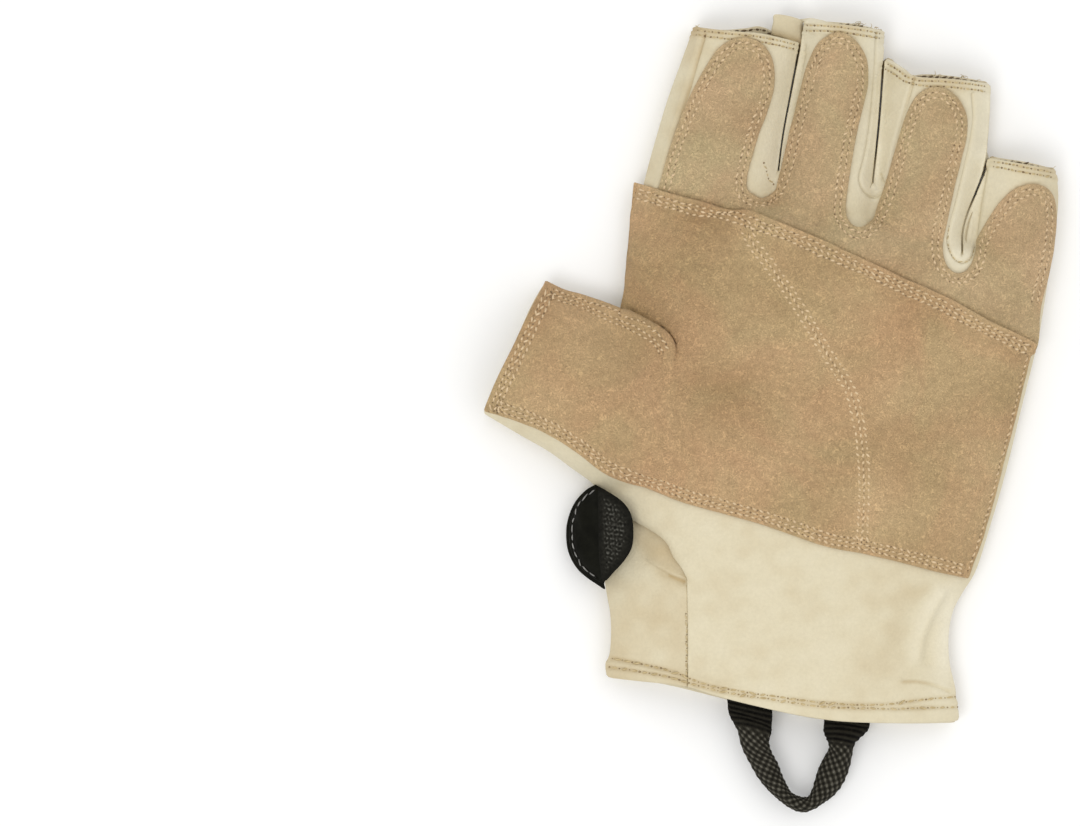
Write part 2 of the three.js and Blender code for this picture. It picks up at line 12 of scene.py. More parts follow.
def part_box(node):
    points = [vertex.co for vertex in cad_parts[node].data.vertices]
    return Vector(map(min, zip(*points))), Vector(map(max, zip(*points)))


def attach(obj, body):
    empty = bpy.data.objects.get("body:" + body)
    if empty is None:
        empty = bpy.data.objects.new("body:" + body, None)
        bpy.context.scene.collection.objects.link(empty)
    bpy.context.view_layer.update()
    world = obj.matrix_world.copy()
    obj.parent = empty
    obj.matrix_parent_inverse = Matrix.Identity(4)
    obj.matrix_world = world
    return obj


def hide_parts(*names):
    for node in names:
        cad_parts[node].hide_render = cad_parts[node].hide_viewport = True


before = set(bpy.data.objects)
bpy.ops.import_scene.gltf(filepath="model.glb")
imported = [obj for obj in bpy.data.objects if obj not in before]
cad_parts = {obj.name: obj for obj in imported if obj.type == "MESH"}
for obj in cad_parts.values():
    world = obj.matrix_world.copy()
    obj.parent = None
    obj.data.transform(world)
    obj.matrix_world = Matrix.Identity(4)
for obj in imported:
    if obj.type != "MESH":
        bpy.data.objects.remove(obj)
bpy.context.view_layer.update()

MM = 0.001
PIXEL = 0.27        # millimetres to a pixel of the photograph
SEAM_Z = 6.0        # height of the seam between palm side and back
SEAM_GAP = 0.08     # the two sides keep this far from the seam's height
LEATHER = 1.3
OVERLAY = 1.3
PATCH = 1.3
SLIT = 0.05         # half the width of a slit between fingers
STEP = 0.5          # between points of an outline
CHUNK = 1500        # points worked on at a time

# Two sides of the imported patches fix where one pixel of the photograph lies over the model
PIXEL_ZERO = (780, 697)
ZERO_TO_SEAM = 21.34
ZERO_TO_PATCH = 32.4
origin_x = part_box("suede_thumb_patch")[1].x / MM - ZERO_TO_SEAM
origin_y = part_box("suede_palm_patch")[0].y / MM - ZERO_TO_PATCH


def plan(points):
    """Millimetres of the plan from pixels of the photograph."""
    p = np.array(points, float).reshape(-1, 2)
    x, y = PIXEL_ZERO
    return np.c_[(p[:, 0] - x) * PIXEL + origin_x, (y - p[:, 1]) * PIXEL + origin_y]


# Curves and distances in the plan

def lengths(line):
    """How far along the line each of its points lies."""
    return np.r_[0, np.cumsum(np.linalg.norm(np.diff(line, axis=0), axis=1))]


def even(line, step, least=2):
    """The same line with points an even step apart."""
    s = lengths(line)
    count = max(least, int(round(s[-1] / step)) + 1)
    t = np.linspace(0, s[-1], count)
    return np.c_[np.interp(t, s, line[:, 0]), np.interp(t, s, line[:, 1])]


def through(rows, each=16):
    """A smooth run through the rows of a table."""
    p = np.asarray(rows, float)
    if len(p) < 3:
        return p
    ends = np.vstack([2 * p[0] - p[1], p, 2 * p[-1] - p[-2]])
    t = np.linspace(0, 1, each, endpoint=False)[:, None]
    parts = []
    for a, b, c, d in zip(ends, ends[1:], ends[2:], ends[3:]):
        parts.append(0.5 * (2 * b + (c - a) * t + (2 * a - 5 * b + 4 * c - d) * t * t
                            + (3 * b - a - 3 * c + d) * t ** 3))
    return np.vstack(parts + [p[-1:]])


def run(points, step=STEP):
    """A smooth line through points of the photograph."""
    return even(through(plan(points)), step)


def loop(*runs):
    """A closed outline, counterclockwise, from runs that follow each other."""
    p = np.vstack(runs)
    keep = np.linalg.norm(p - np.roll(p, 1, 0), axis=1) > 0.05
    p = p[keep]
    x, y = p.T
    area = np.sum(x * np.roll(y, -1) - y * np.roll(x, -1))
    return p if area > 0 else p[::-1]


def side_of(line, reach):
    """The line moved to its left by a distance."""
    ahead = np.gradient(line, axis=0)
    ahead /= np.linalg.norm(ahead, axis=1)[:, None] + 1e-9
    return line + np.c_[-ahead[:, 1], ahead[:, 0]] * reach


def foot(points, line, closed=False):
    """For each point: distance to a line, direction to the line's left there, share of the line, left side or
    not."""
    a = line if closed else line[:-1]
    b = np.roll(line, -1, 0) if closed else line[1:]
    ab = b - a
    size = (ab ** 2).sum(1) + 1e-12
    best = np.empty(len(points))
    left = np.empty((len(points), 2))
    share = np.empty(len(points))
    on_left = np.empty(len(points), bool)
    for i in range(0, len(points), CHUNK):
        part = slice(i, i + CHUNK)
        ap = points[part][:, None] - a[None]
        t = np.clip((ap * ab).sum(2) / size, 0, 1)
        d2 = ((ap - t[..., None] * ab) ** 2).sum(2)
        k = d2.argmin(1)
        rows = np.arange(len(k))
        best[part] = np.sqrt(d2[rows, k])
        e = ab[k] / np.sqrt(size[k])[:, None]
        left[part] = np.c_[-e[:, 1], e[:, 0]]
        share[part] = (k + t[rows, k]) / len(a)
        on_left[part] = (ap[rows, k] * left[part]).sum(1) > 0
    return best, left, share, on_left


def away(points, *lines):
    """The distance to the nearest of the lines."""
    return np.min([foot(points, line)[0] for line in lines], axis=0)


def inside(points, outline):
    """Whether each point lies inside a closed outline, from how often a ray from it crosses the outline."""
    a = outline
    b = np.roll(outline, -1, 0)
    result = np.empty(len(points), bool)
    for i in range(0, len(points), CHUNK):
        x, y = points[i:i + CHUNK, 0:1], points[i:i + CHUNK, 1:2]
        cross = (a[:, 1] > y) != (b[:, 1] > y)
        at = a[:, 0] + (y - a[:, 1]) / (b[:, 1] - a[:, 1] + 1e-12) * (b[:, 0] - a[:, 0])
        result[i:i + CHUNK] = (cross & (x < at)).sum(1) % 2 == 1
    return result


def depth(points, outline):
    """Distance to a closed outline, positive inside it, and the inward direction there."""
    d, left = foot(points, outline, True)[:2]
    return np.where(inside(points, outline), d, -d), left


def rounded(u):
    """A quarter round: 0 at 0, 1 from 1 on."""
    u = np.clip(u, 0, 1)
    return np.sqrt(1 - (1 - u) ** 2)


def step_up(u):
    """A smooth step: 0 up to 0, 1 from 1 on."""
    u = np.clip(u, 0, 1)
    return u * u * (3 - 2 * u)


def fade(distance, reach):
    """1 at no distance, fading to 0."""
    return np.exp(-(distance / reach) ** 2)


def ripple(points, size, seed, count=9):
    """Soft uneven waves between about -1 and 1. size is their length in millimetres."""
    rng = np.random.default_rng(seed)
    angle = rng.uniform(0, math.tau, count)
    scale = rng.uniform(0.6, 1.5, count) * math.tau / size
    phase = rng.uniform(0, math.tau, count)
    wave = np.zeros(len(points))
    for a, k, f in zip(angle, scale, phase):
        wave += np.sin(points[:, 0] * k * math.cos(a) + points[:, 1] * k * math.sin(a) + f)
    return wave / math.sqrt(count)


# The outline of the leather body in the photograph's pixels, run by run

LEFT_WRIST = [(606, 674), (605, 662), (609, 647), (609, 616), (604, 585), (599, 545), (594, 487)]
THUMB_LOW = [(594, 485), (570, 468), (548, 452), (520, 436), (488, 417), (483, 414)]
THUMB_HIGH = [(544, 284), (565, 294), (587, 300), (605, 308), (621, 315)]
PALM_LEFT = [(621, 315), (627, 290), (630, 273), (636, 215), (642, 186), (652, 148), (666, 101), (680, 62),
             (692, 28)]
SLIT_ONE = [(804, -8), (799.5, 40), (790, 92), (782, 135), (777, 172)]
SLIT_TWO = [(886.5, -8), (882, 62), (878, 115), (874, 155), (871, 183)]
SLIT_THREE = [(990, 56), (989, 110), (986, 150), (981, 174), (973.5, 194), (965, 215), (960.5, 232),
              (958.5, 253)]
RIGHT_SIDE = [(1054, 171), (1057, 190), (1056, 218), (1051, 253), (1042, 311), (1036, 345), (1020, 410),
              (1004, 475), (988, 530), (975, 570), (962, 592), (952, 612), (948, 635), (949, 662), (955, 690),
              (957, 714)]
CUFF_EDGE = [(957, 714), (952, 720), (890, 721), (820, 717), (742, 701), (664, 682), (606, 674)]
THUMB_MOUTH = [(483, 414), (498, 378), (515, 343), (531, 308), (544, 284)]
MOUTHS = {
    "index": [(692, 28), (720, 33), (760, 37), (798.5, 44)],
    "middle": [(800.5, 24), (840, 28), (883.5, 33)],
    "ring": [(884.5, 60), (898, 70), (912, 79), (950, 82), (988, 85)],
    "little": [(987, 159), (1020, 166), (1054, 171)],
}


def slit(points, down_from, back_to):
    """The two edges of a slit between fingers: down from one height in pixels, round the end and back up to
    another. It narrows over its last 9 mm."""
    line = run(points)
    half = SLIT * (0.55 + 0.45 * rounded(lengths(line[::-1])[::-1] / 9))[:, None]
    aside = side_of(line, 1) - line
    down, back = line - aside * half, line + aside * half
    down = down[down[:, 1] < plan([(0, down_from)])[0, 1]]
    back = back[back[:, 1] < plan([(0, back_to)])[0, 1]]
    return np.vstack([down, back[::-1]])


# The sides of the body, with every mouth far past its real end
body = loop(
    run([(604, 706)] + LEFT_WRIST),
    run(THUMB_LOW + [(462, 402)]),
    run([(516, 273)] + THUMB_HIGH),
    run(PALM_LEFT + [(702, 0)]),
    slit(SLIT_ONE, 2, 2),
    slit(SLIT_TWO, 2, 34),
    run([(990, 50), (992, 62)]),
    slit(SLIT_THREE, 64, 132),
    run([(996, 130), (1058, 138)]),
    run(RIGHT_SIDE),
    run([(960, 740), (760, 740), (604, 706)]),
)


# Height of the leather over the plan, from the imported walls

CELL = 0.5
LOW = np.array([-86.0, -116.0])
COUNT = (346, 466)
FILL_PASSES = 20
SOFTEN = 2.2        # cells
ABOVE = 60          # height from which the rays look down on the walls
FINGERS = ("index", "middle", "ring", "little")
GUSSETS = ("gusset_index_middle", "gusset_middle_ring", "gusset_ring_little")
FINGER_HEMS = tuple(name + "_hem" for name in FINGERS)
WALLS = ("palm_leather", "wrist_side_panel", "thumb_palm_leather", "back_leather", "thumb_back_leather",
         *GUSSETS, *FINGER_HEMS, "thumb_hem", "cuff_hem")


def tree_of(names):
    """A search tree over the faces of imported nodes, in millimetres."""
    points, faces = [], []
    for name in names:
        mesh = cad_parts[name].data
        first = len(points)
        points += [v.co / MM for v in mesh.vertices]
        faces += [[first + i for i in p.vertices] for p in mesh.polygons]
    return BVHTree.FromPolygons(points, faces)


def neighbours(grid, pick):
    """Each cell from itself and its eight neighbours."""
    wide = np.pad(grid, 1, mode="edge")
    parts = [wide[i:i + grid.shape[0], j:j + grid.shape[1]] for i in range(3) for j in range(3)]
    with np.errstate(all="ignore"):
        return pick(np.array(parts), axis=0)


def blurred(grid, sigma):
    """The grid softened by a bell curve of sigma cells."""
    reach = int(3 * sigma)
    kernel = np.exp(-np.arange(-reach, reach + 1) ** 2 / (2 * sigma * sigma))
    kernel /= kernel.sum()
    for axis in (0, 1):
        pad = [(reach, reach) if a == axis else (0, 0) for a in (0, 1)]
        wide = np.pad(grid, pad, mode="edge")
        grid = np.apply_along_axis(lambda row: np.convolve(row, kernel, "valid"), axis, wide)
    return grid


def leather_heights():
    """The walls' tops on a grid, with gaps closed, the surroundings filled and all of it softened."""
    tree = tree_of(WALLS)
    down = Vector((0, 0, -1))
    grid = np.full(COUNT, np.nan)
    for i in range(COUNT[0]):
        for j in range(COUNT[1]):
            hit = tree.ray_cast(Vector((LOW[0] + i * CELL, LOW[1] + j * CELL, ABOVE)), down)[0]
            if hit:
                grid[i, j] = hit.z
    with warnings.catch_warnings():
        warnings.simplefilter("ignore")
        grid = neighbours(neighbours(grid, np.nanmax), np.nanmin)
        for _ in range(FILL_PASSES):
            grown = neighbours(grid, np.nanmean)
            grid = np.where(np.isnan(grid), grown, grid)
    return blurred(np.where(np.isnan(grid), SEAM_Z, grid), SOFTEN)


leather_top = leather_heights()


def sample(grid, points):
    """Values of a grid between its cells."""
    at = np.clip((points - LOW) / CELL, 0, np.array(COUNT) - 1.001)
    i, j = at.astype(int).T
    u, v = (at - np.floor(at)).T
    return (grid[i, j] * (1 - u) * (1 - v) + grid[i + 1, j] * u * (1 - v)
            + grid[i, j + 1] * (1 - u) * v + grid[i + 1, j + 1] * u * v)


def bump(points, spot, reach, turn=0):
    """A soft round rise of 1 at a spot of the photograph. reach is its size both ways, turned by degrees."""
    d = points - plan([spot])[0]
    a = math.radians(turn)
    u = d[:, 0] * math.cos(a) + d[:, 1] * math.sin(a)
    v = -d[:, 0] * math.sin(a) + d[:, 1] * math.cos(a)
    return np.exp(-(u / reach[0]) ** 2 - (v / reach[1]) ** 2)


# Dents and soft folds that the leather and the suede share: where, size in millimetres, turn, rise
FORMS = [
    ((900, 628), (3.6, 11), -16, -0.9), ((931, 604), (4, 8), -18, 0.5), ((926, 653), (2.6, 0.9), 30, 0.4),
    ((880, 668), (10, 2.5), 8, 0.2), ((668, 575), (5.5, 0.8), -24, -0.35), ((662, 567), (5, 0.9), -24, 0.3),
    ((640, 545), (7, 5), -40, -0.7), ((690, 548), (6, 9), 38, 0.9), ((640, 505), (12, 4), -38, 0.7),
    ((735, 600), (12, 9), 0, 0.3), ((830, 620), (14, 8), 10, -0.25), ((760, 650), (16, 3), -6, -0.25),
    ((647, 307), (8, 4.5), -30, -1.3), ((700, 420), (14, 20), 30, 0.5), ((930, 430), (12, 22), -10, 0.4),
    ((800, 420), (8, 18), 25, -0.5), ((870, 330), (16, 7), -20, -0.4), ((720, 300), (10, 14), 20, -0.3),
]

# The thumb's edge over the palm, and the line along which thumb and palm run into each other
FOLD = [(578, 293), (600, 302), (617, 310.5), (639, 321.5), (655, 330), (665, 338), (671, 350), (672, 368),
        (668, 385)]
THUMB_JOIN = [(612, 318), (630, 338), (650, 362), (672, 392), (690, 420)]
fold_line = run(FOLD)


def thumb_fold(points, soft, high, low, reach):
    """A step across the fold line that fades towards both ends of the line."""
    d, _, share, on_left = foot(points, fold_line)
    side = np.where(on_left, d, -d)
    thumb = step_up(0.5 - side / soft)
    along = step_up((share - 0.05) / 0.25) * (1 - step_up((share - 0.62) / 0.38))
    return along * fade(d, reach) * (high * thumb - low * (1 - thumb))


def add_folds():
    """The grid with soft waves, folds and dents, and a smooth change from the palm to the thumb."""
    x = LOW[0] + np.arange(COUNT[0]) * CELL
    y = LOW[1] + np.arange(COUNT[1]) * CELL
    points = np.stack(np.meshgrid(x, y, indexing="ij"), -1).reshape(-1, 2)
    rise = 0.22 * ripple(points, 34, 3) + 0.1 * ripple(points, 13, 8) + 0.03 * ripple(points, 5, 12)
    rise += thumb_fold(points, 2.6, 1.5, 1.5, 5.0)
    for spot, reach, turn, height in FORMS:
        rise += height * bump(points, spot, reach, turn)
    join = fade(away(points, run(THUMB_JOIN)), 9).reshape(COUNT)
    return leather_top * (1 - join) + blurred(leather_top, 12) * join + rise.reshape(COUNT)


leather_top = add_folds()
slope_x, slope_y = np.gradient(leather_top, CELL)
slit_lines = [run(points) for points in (SLIT_ONE, SLIT_TWO, SLIT_THREE)]

# How far in from the outline the leather has turned to its full height: palm side, beside a slit, back
TOP_ROUND = 1.6
SLIT_ROUND = 0.2
BACK_ROUND = 4.5


def skin(points, upper=True):
    """Places on the outer side of the leather and the directions straight out of it."""
    d, inward = depth(points, body)
    turn = np.full(len(points), BACK_ROUND)
    if upper:
        beside = away(points, *slit_lines)
        turn = SLIT_ROUND + (TOP_ROUND - SLIT_ROUND) * step_up((beside - 1.5) / 2)
    u = np.clip(d / turn, 0, 1)
    q = rounded(u)
    rate = np.where(u < 1, (1 - u) / np.maximum(q, 0.06), 0) / turn
    if upper:
        top = sample(leather_top, points) - SEAM_Z
        z = SEAM_Z + SEAM_GAP + top * q
        slope = np.c_[sample(slope_x, points), sample(slope_y, points)] * q[:, None]
        slope += (top * rate)[:, None] * inward
        out = np.c_[-slope, np.ones(len(points))]
    else:
        z = (SEAM_Z - SEAM_GAP) * (1 - q)
        slope = -SEAM_Z * rate[:, None] * inward
        out = np.c_[slope, -np.ones(len(points))]
    out /= np.linalg.norm(out, axis=1)[:, None]
    return np.c_[points, z], out


# Sheets: meshes over an outline of the plan, with real thickness and round edges

# Distances of the mesh's rows of points from an outline, and from a line that it follows
RINGS = (0.03, 0.1, 0.2, 0.35, 0.6, 1.0, 1.6, 2.4)
TRACKS = (-1.3, -0.8, -0.45, -0.2, 0, 0.2, 0.45, 0.8, 1.3)
TRACK_STEP = 0.7
TRACK_CLEAR = 1.5
EDGE_CLEAR = 0.3


def fill(outline, rings, spacing, lines=()):
    """Points and triangles over an outline, finer near its edge and beside the given lines."""
    ahead = np.roll(outline, -1, 0) - np.roll(outline, 1, 0)
    inward = np.c_[-ahead[:, 1], ahead[:, 0]] / (np.linalg.norm(ahead, axis=1)[:, None] + 1e-9)
    clouds = [outline]
    for ring in rings:
        stride = max(1, int(ring * 0.9 / STEP))
        p = (outline + inward * ring)[::stride]
        clouds.append(p[depth(p, outline)[0] > 0.93 * ring])
    for line in lines:
        for reach in TRACKS:
            p = side_of(even(line, TRACK_STEP), reach)
            clouds.append(p[depth(p, outline)[0] > EDGE_CLEAR])
    low, high = outline.min(0), outline.max(0)
    rows = np.arange(low[1], high[1], spacing * 0.87)
    columns = np.arange(low[0], high[0], spacing)
    x, y = np.meshgrid(columns, rows)
    x = x + (np.arange(len(rows)) % 2 * spacing / 2)[:, None]
    p = np.c_[x.ravel(), y.ravel()]
    p = p[depth(p, outline)[0] > rings[-1] + 0.5 * spacing]
    for line in lines:
        p = p[away(p, line) > TRACK_CLEAR]
    clouds.append(p)
    points = np.vstack(clouds)
    count = len(outline)
    edges = [(i, (i + 1) % count) for i in range(count)]
    made = delaunay_2d_cdt([Vector(p) for p in points], edges, [], 1, 1e-4)
    return np.array([tuple(v) for v in made[0]]), np.array(made[2])


def back_skin(points):
    return skin(points, False)


def placed(name, data):
    thing = bpy.data.objects.new(name, data)
    bpy.context.scene.collection.objects.link(thing)
    return thing


def new_object(name, points, faces, material, nodes=(), tone=None):
    """A piece from points in millimetres. tone is kept at each point for the material to read."""
    mesh = bpy.data.meshes.new(name)
    mesh.from_pydata((np.asarray(points) * MM).tolist(), [], [list(f) for f in faces])
    mesh.validate()
    mesh.polygons.foreach_set("use_smooth", [True] * len(mesh.polygons))
    if tone is not None:
        mesh.attributes.new("tone", "FLOAT", "POINT").data.foreach_set("value", np.asarray(tone, float))
    mesh.materials.append(material)
    piece = placed(name, mesh)
    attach(piece, "root")
    if nodes:
        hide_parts(*nodes)


def sheet(name, outline, faces_at, material, nodes=(), ground=skin, rim=0.6, spacing=1.1, lines=(),
          rings=RINGS, tone_at=None):
    """A closed sheet with round edges. faces_at gives how far its two faces lie out of the ground."""
    points, triangles = fill(outline, rings, spacing, lines)
    place, out = ground(points)
    edge = np.maximum(depth(points, outline)[0], 0)
    low, high = faces_at(points)
    middle = (low + high) / 2
    half = (high - low) / 2 * rounded(edge / rim)
    outer = place + out * (middle + half)[:, None]
    inner = place + out * (middle - half)[:, None]
    ends = np.sort(np.vstack([triangles[:, [0, 1]], triangles[:, [1, 2]], triangles[:, [2, 0]]]), axis=1)
    pairs, uses = np.unique(ends, axis=0, return_counts=True)
    rim_points = np.unique(pairs[uses == 1])
    below = np.arange(len(points)) + len(points)
    below[rim_points] = rim_points
    a, b, c = (points[triangles[:, i]] for i in range(3))
    turn = (b[:, 0] - a[:, 0]) * (c[:, 1] - a[:, 1]) - (b[:, 1] - a[:, 1]) * (c[:, 0] - a[:, 0])
    face = np.where((turn > 0)[:, None], triangles, triangles[:, ::-1])
    if out[:, 2].mean() < 0:
        face = face[:, ::-1]
    faces = np.vstack([face, below[face[:, ::-1]]])
    tone = np.tile(tone_at(points), 2) if tone_at else None
    new_object(name, np.vstack([outer, inner]), faces.tolist(), material, nodes, tone)


# Outlines of the suede pieces in the photograph's pixels

LOBES = [
    (655, 208), (661, 184), (669, 155), (680, 124), (691, 98), (703, 74), (716, 54), (729, 44), (742, 41),
    (756, 45), (767, 57), (771, 74), (770, 93), (764, 114), (756, 136), (749, 160), (744, 180), (746, 192),
    (759, 199), (771, 193), (777, 184), (783, 165), (793, 124), (801, 92), (809, 64), (820, 44), (835, 36),
    (850, 43), (861, 60), (863, 84), (859, 106), (853, 132), (847, 165), (843, 194), (842, 212), (847, 227),
    (858, 231), (870, 222), (879, 203), (886, 182), (893, 155), (904, 118), (916, 97), (933, 90), (950, 98),
    (961, 117), (961, 140), (955, 165), (948, 193), (942, 222), (938, 250), (942, 268), (953, 275),
    (965, 268), (975, 243), (985, 223), (998, 203), (1012, 190), (1028, 186), (1041, 190), (1049, 202),
    (1051, 222), (1048, 250), (1042, 280), (1036, 306),
]
OVERLAY_LOW = [(1036, 306), (1028, 353), (985, 341), (937, 315), (859, 280), (781, 247), (742, 235),
               (703, 221), (655, 208)]
PATCH_TOP = [(637, 184), (668, 193), (703, 202), (738, 214), (781, 229), (820, 245), (859, 262), (898, 280),
             (937, 297), (987, 323), (1029, 342)]
PATCH_RIGHT = [(1029, 342), (1013, 408), (998, 465), (984, 518), (964, 577)]
PATCH_LOW = [(964, 577), (932, 570), (898, 561), (857, 551), (820, 544), (762, 524), (720, 512), (684, 502),
             (645, 487), (606, 471), (577, 450), (548, 432), (518, 419), (486, 409)]
SEAM = [(738, 214), (748, 240), (762, 261), (793, 304), (828, 362), (845, 388), (854, 420), (859, 463),
        (859, 505), (857, 551)]
PATCH_LEFT = [(621, 314), (627, 290), (629, 273), (633, 225), (637, 184)]
THUMB_CORNER = (486, 407)
PATCH_LAP = 0.16    # each patch reaches this far over their seam

lobe_line = run(LOBES)
overlay_outline = loop(lobe_line, run(OVERLAY_LOW))
seam_line = run(SEAM)
palm_outline = loop(
    run(PATCH_TOP[3:]) - [PATCH_LAP, 0], run(PATCH_RIGHT), run(PATCH_LOW[:4]),
    run(SEAM[::-1]) - [PATCH_LAP, 0],
)
thumb_outline = loop(
    run(PATCH_LEFT), run(PATCH_TOP[:4]) + [PATCH_LAP, 0], run(SEAM) + [PATCH_LAP, 0], run(PATCH_LOW[3:]),
    run([THUMB_CORNER] + THUMB_MOUTH[1:]), run(THUMB_HIGH),
)


# Materials

def material(name, color, roughness, **sockets):
    """A plain shader. Each other socket is given by its name, with _ for a space."""
    made = bpy.data.materials.new(name)
    made.use_nodes = True
    shader = made.node_tree.nodes["Principled BSDF"]
    shader.inputs["Base Color"].default_value = (*color, 1)
    shader.inputs["Roughness"].default_value = roughness
    for socket, value in sockets.items():
        shader.inputs[socket.replace("_", " ")].default_value = value
    return made


def node(made, kind, **inputs):
    n = made.node_tree.nodes.new(kind)
    for socket, value in inputs.items():
        n.inputs[socket.replace("_", " ")].default_value = value
    return n


def link(made, a, b):
    made.node_tree.links.new(a, b)


def object_point(made, stretch=None):
    point = made.node_tree.nodes.new("ShaderNodeTexCoord").outputs["Object"]
    if stretch:
        mapping = node(made, "ShaderNodeMapping", Scale=stretch)
        link(made, point, mapping.inputs["Vector"])
        point = mapping.outputs["Vector"]
    return point


def noise(made, scale, detail=2.0, rough=0.5, stretch=None, distortion=0.0):
    n = node(made, "ShaderNodeTexNoise", Scale=scale, Detail=detail, Roughness=rough, Distortion=distortion)
    link(made, object_point(made, stretch), n.inputs["Vector"])
    return n.outputs["Fac"]


def ramp(made, value, stops):
    n = made.node_tree.nodes.new("ShaderNodeValToRGB")
    elements = n.color_ramp.elements
    while len(elements) < len(stops):
        elements.new(0.5)
    for element, (at, color) in zip(elements, stops):
        element.position = at
        element.color = (*color, 1)
    link(made, value, n.inputs["Fac"])
    return n.outputs["Color"]


def multiplied(made, a, b):
    """The product of two colours. The mix node's colour sockets are its inputs 6 and 7 and its output 2."""
    n = made.node_tree.nodes.new("ShaderNodeMix")
    n.data_type = "RGBA"
    n.blend_type = "MULTIPLY"
    n.inputs[0].default_value = 1
    link(made, a, n.inputs[6])
    link(made, b, n.inputs[7])
    return n.outputs[2]


def math_of(made, operation, a, b=0.0, c=0.0):
    n = made.node_tree.nodes.new("ShaderNodeMath")
    n.operation = operation
    for socket, value in zip(n.inputs, (a, b, c)):
        if isinstance(value, bpy.types.NodeSocket):
            link(made, value, socket)
        else:
            socket.default_value = value
    return n.outputs[0]


def grey(low, high):
    return [(0.3, (low, low, low)), (0.7, (high, high, high))]


def toned(made, dark, plain, light, spread=0.0, size=50):
    """The colour the mesh's tone asks for, painted light and shade included, from -1 dark to 1 light, with
    uneven spots.
    """
    tone = made.node_tree.nodes.new("ShaderNodeAttribute")
    tone.attribute_name = "tone"
    value = math_of(made, "MULTIPLY_ADD", tone.outputs["Fac"], 0.5, 0.5)
    spots = math_of(made, "MULTIPLY_ADD", noise(made, size, 3, 0.6, distortion=0.4), spread, -spread / 2)
    return ramp(made, math_of(made, "ADD", value, spots), [(0, dark), (0.5, plain), (1, light)])


def hairs(made, scale, thin):
    """Fine curly lines: 1 on a line, 0 beside it."""
    wave = noise(made, scale, 1, 0.5, distortion=2.2)
    gap = math_of(made, "ABSOLUTE", math_of(made, "SUBTRACT", wave, 0.5))
    return math_of(made, "SUBTRACT", 1.0, math_of(made, "MINIMUM", math_of(made, "MULTIPLY", gap, thin), 1.0))


def bumps(made, *layers):
    """Stacked bumps on the shader's normal: height socket, distance in metres, strength."""
    normal = None
    for height, distance, strength in layers:
        n = node(made, "ShaderNodeBump", Strength=strength, Distance=distance)
        link(made, height, n.inputs["Height"])
        if normal:
            link(made, normal, n.inputs["Normal"])
        normal = n.outputs["Normal"]
    link(made, normal, made.node_tree.nodes["Principled BSDF"].inputs["Normal"])


def paint(made, color, socket="Base Color"):
    link(made, color, made.node_tree.nodes["Principled BSDF"].inputs[socket])


def cream_leather():
    made = material("cream_leather", (0.68, 0.61, 0.44), 0.55, Specular_IOR_Level=0.3)
    # The tone's dark end colours seams and painted shade, its light end painted highlights.
    color = toned(made, (0.40, 0.26, 0.09), (0.66, 0.588, 0.415), (0.78, 0.725, 0.57), 0.08, 45)
    paint(made, multiplied(made, color, ramp(made, noise(made, 1000, 3, 0.65), grey(0.96, 1.03))))
    paint(made, ramp(made, noise(made, 260, 3, 0.6), grey(0.5, 0.64)), "Roughness")
    cells = node(made, "ShaderNodeTexVoronoi", Scale=1500)
    link(made, object_point(made), cells.inputs["Vector"])
    bumps(made, (noise(made, 110, 4, 0.6, distortion=0.6), 0.0012, 0.14),
          (cells.outputs["Distance"], 0.0003, 0.22), (noise(made, 700, 3, 0.6), 0.0004, 0.18))
    return made


def suede_leather(name, dark, plain, light):
    made = material(name, plain, 0.95, Sheen_Weight=0.18, Sheen_Roughness=0.5, Sheen_Tint=(0.9, 0.8, 0.62, 1),
                    Specular_IOR_Level=0.1)
    color = toned(made, dark, plain, light, 0.3, 60)
    warm = [(0.35, (1.028, 0.968, 0.96)), (0.65, (0.968, 1.015, 0.985))]
    color = multiplied(made, color, ramp(made, noise(made, 38, 3, 0.6, distortion=0.8), warm))
    color = multiplied(made, color, ramp(made, noise(made, 420, 3, 0.65), grey(0.92, 1.08)))
    nap = hairs(made, 480, 14)
    fine = hairs(made, 1150, 9)
    dents = hairs(made, 760, 10)
    for lines, low, beside, on_line in ((nap, 0.1, (0.96, 0.955, 0.945), (1.3, 1.29, 1.26)),
                                        (dents, 0.2, (1.05, 1.05, 1.04), (0.84, 0.83, 0.81)),
                                        (fine, 0.1, (0.95, 0.945, 0.935), (1.15, 1.15, 1.13))):
        color = multiplied(made, color, ramp(made, lines, [(low, beside), (0.95, on_line)]))
    paint(made, color)
    bumps(made, (noise(made, 420, 4, 0.65), 0.0008, 0.35), (nap, 0.0003, 0.45), (fine, 0.0002, 0.5))
    return made


def thread_material(name, color, dark):
    made = material(name, color, 0.7, Sheen_Weight=0.15, Specular_IOR_Level=0.25)
    paint(made, ramp(made, noise(made, 900, 2, 0.5), [(0.3, dark), (0.7, color)]))
    bumps(made, (noise(made, 3500, 2, 0.5, stretch=(1, 1, 2)), 0.0003, 0.5))
    return made


def black_leather():
    made = material("black_leather", (0.006, 0.0055, 0.0045), 0.5, Specular_IOR_Level=0.06)
    shades = [(0.3, (0.003, 0.003, 0.0015)), (0.7, (0.0075, 0.0075, 0.0045))]
    paint(made, ramp(made, noise(made, 300, 3, 0.6), shades))
    paint(made, ramp(made, noise(made, 500, 3, 0.6), grey(0.36, 0.55)), "Roughness")
    bumps(made, (noise(made, 900, 4, 0.65), 0.0004, 0.35), (noise(made, 180, 3, 0.5), 0.0008, 0.2))
    return made


def black_weave(name, dark, plain, light, size):
    made = material(name, plain, 0.9, Specular_IOR_Level=0.08)
    color = toned(made, dark, plain, light, 0.5, size)
    paint(made, multiplied(made, color, ramp(made, hairs(made, 2200, 5), grey(0.8, 1.25))))
    bumps(made, (noise(made, 2600, 3, 0.6), 0.0004, 0.6), (hairs(made, 2200, 5), 0.0003, 0.5))
    return made


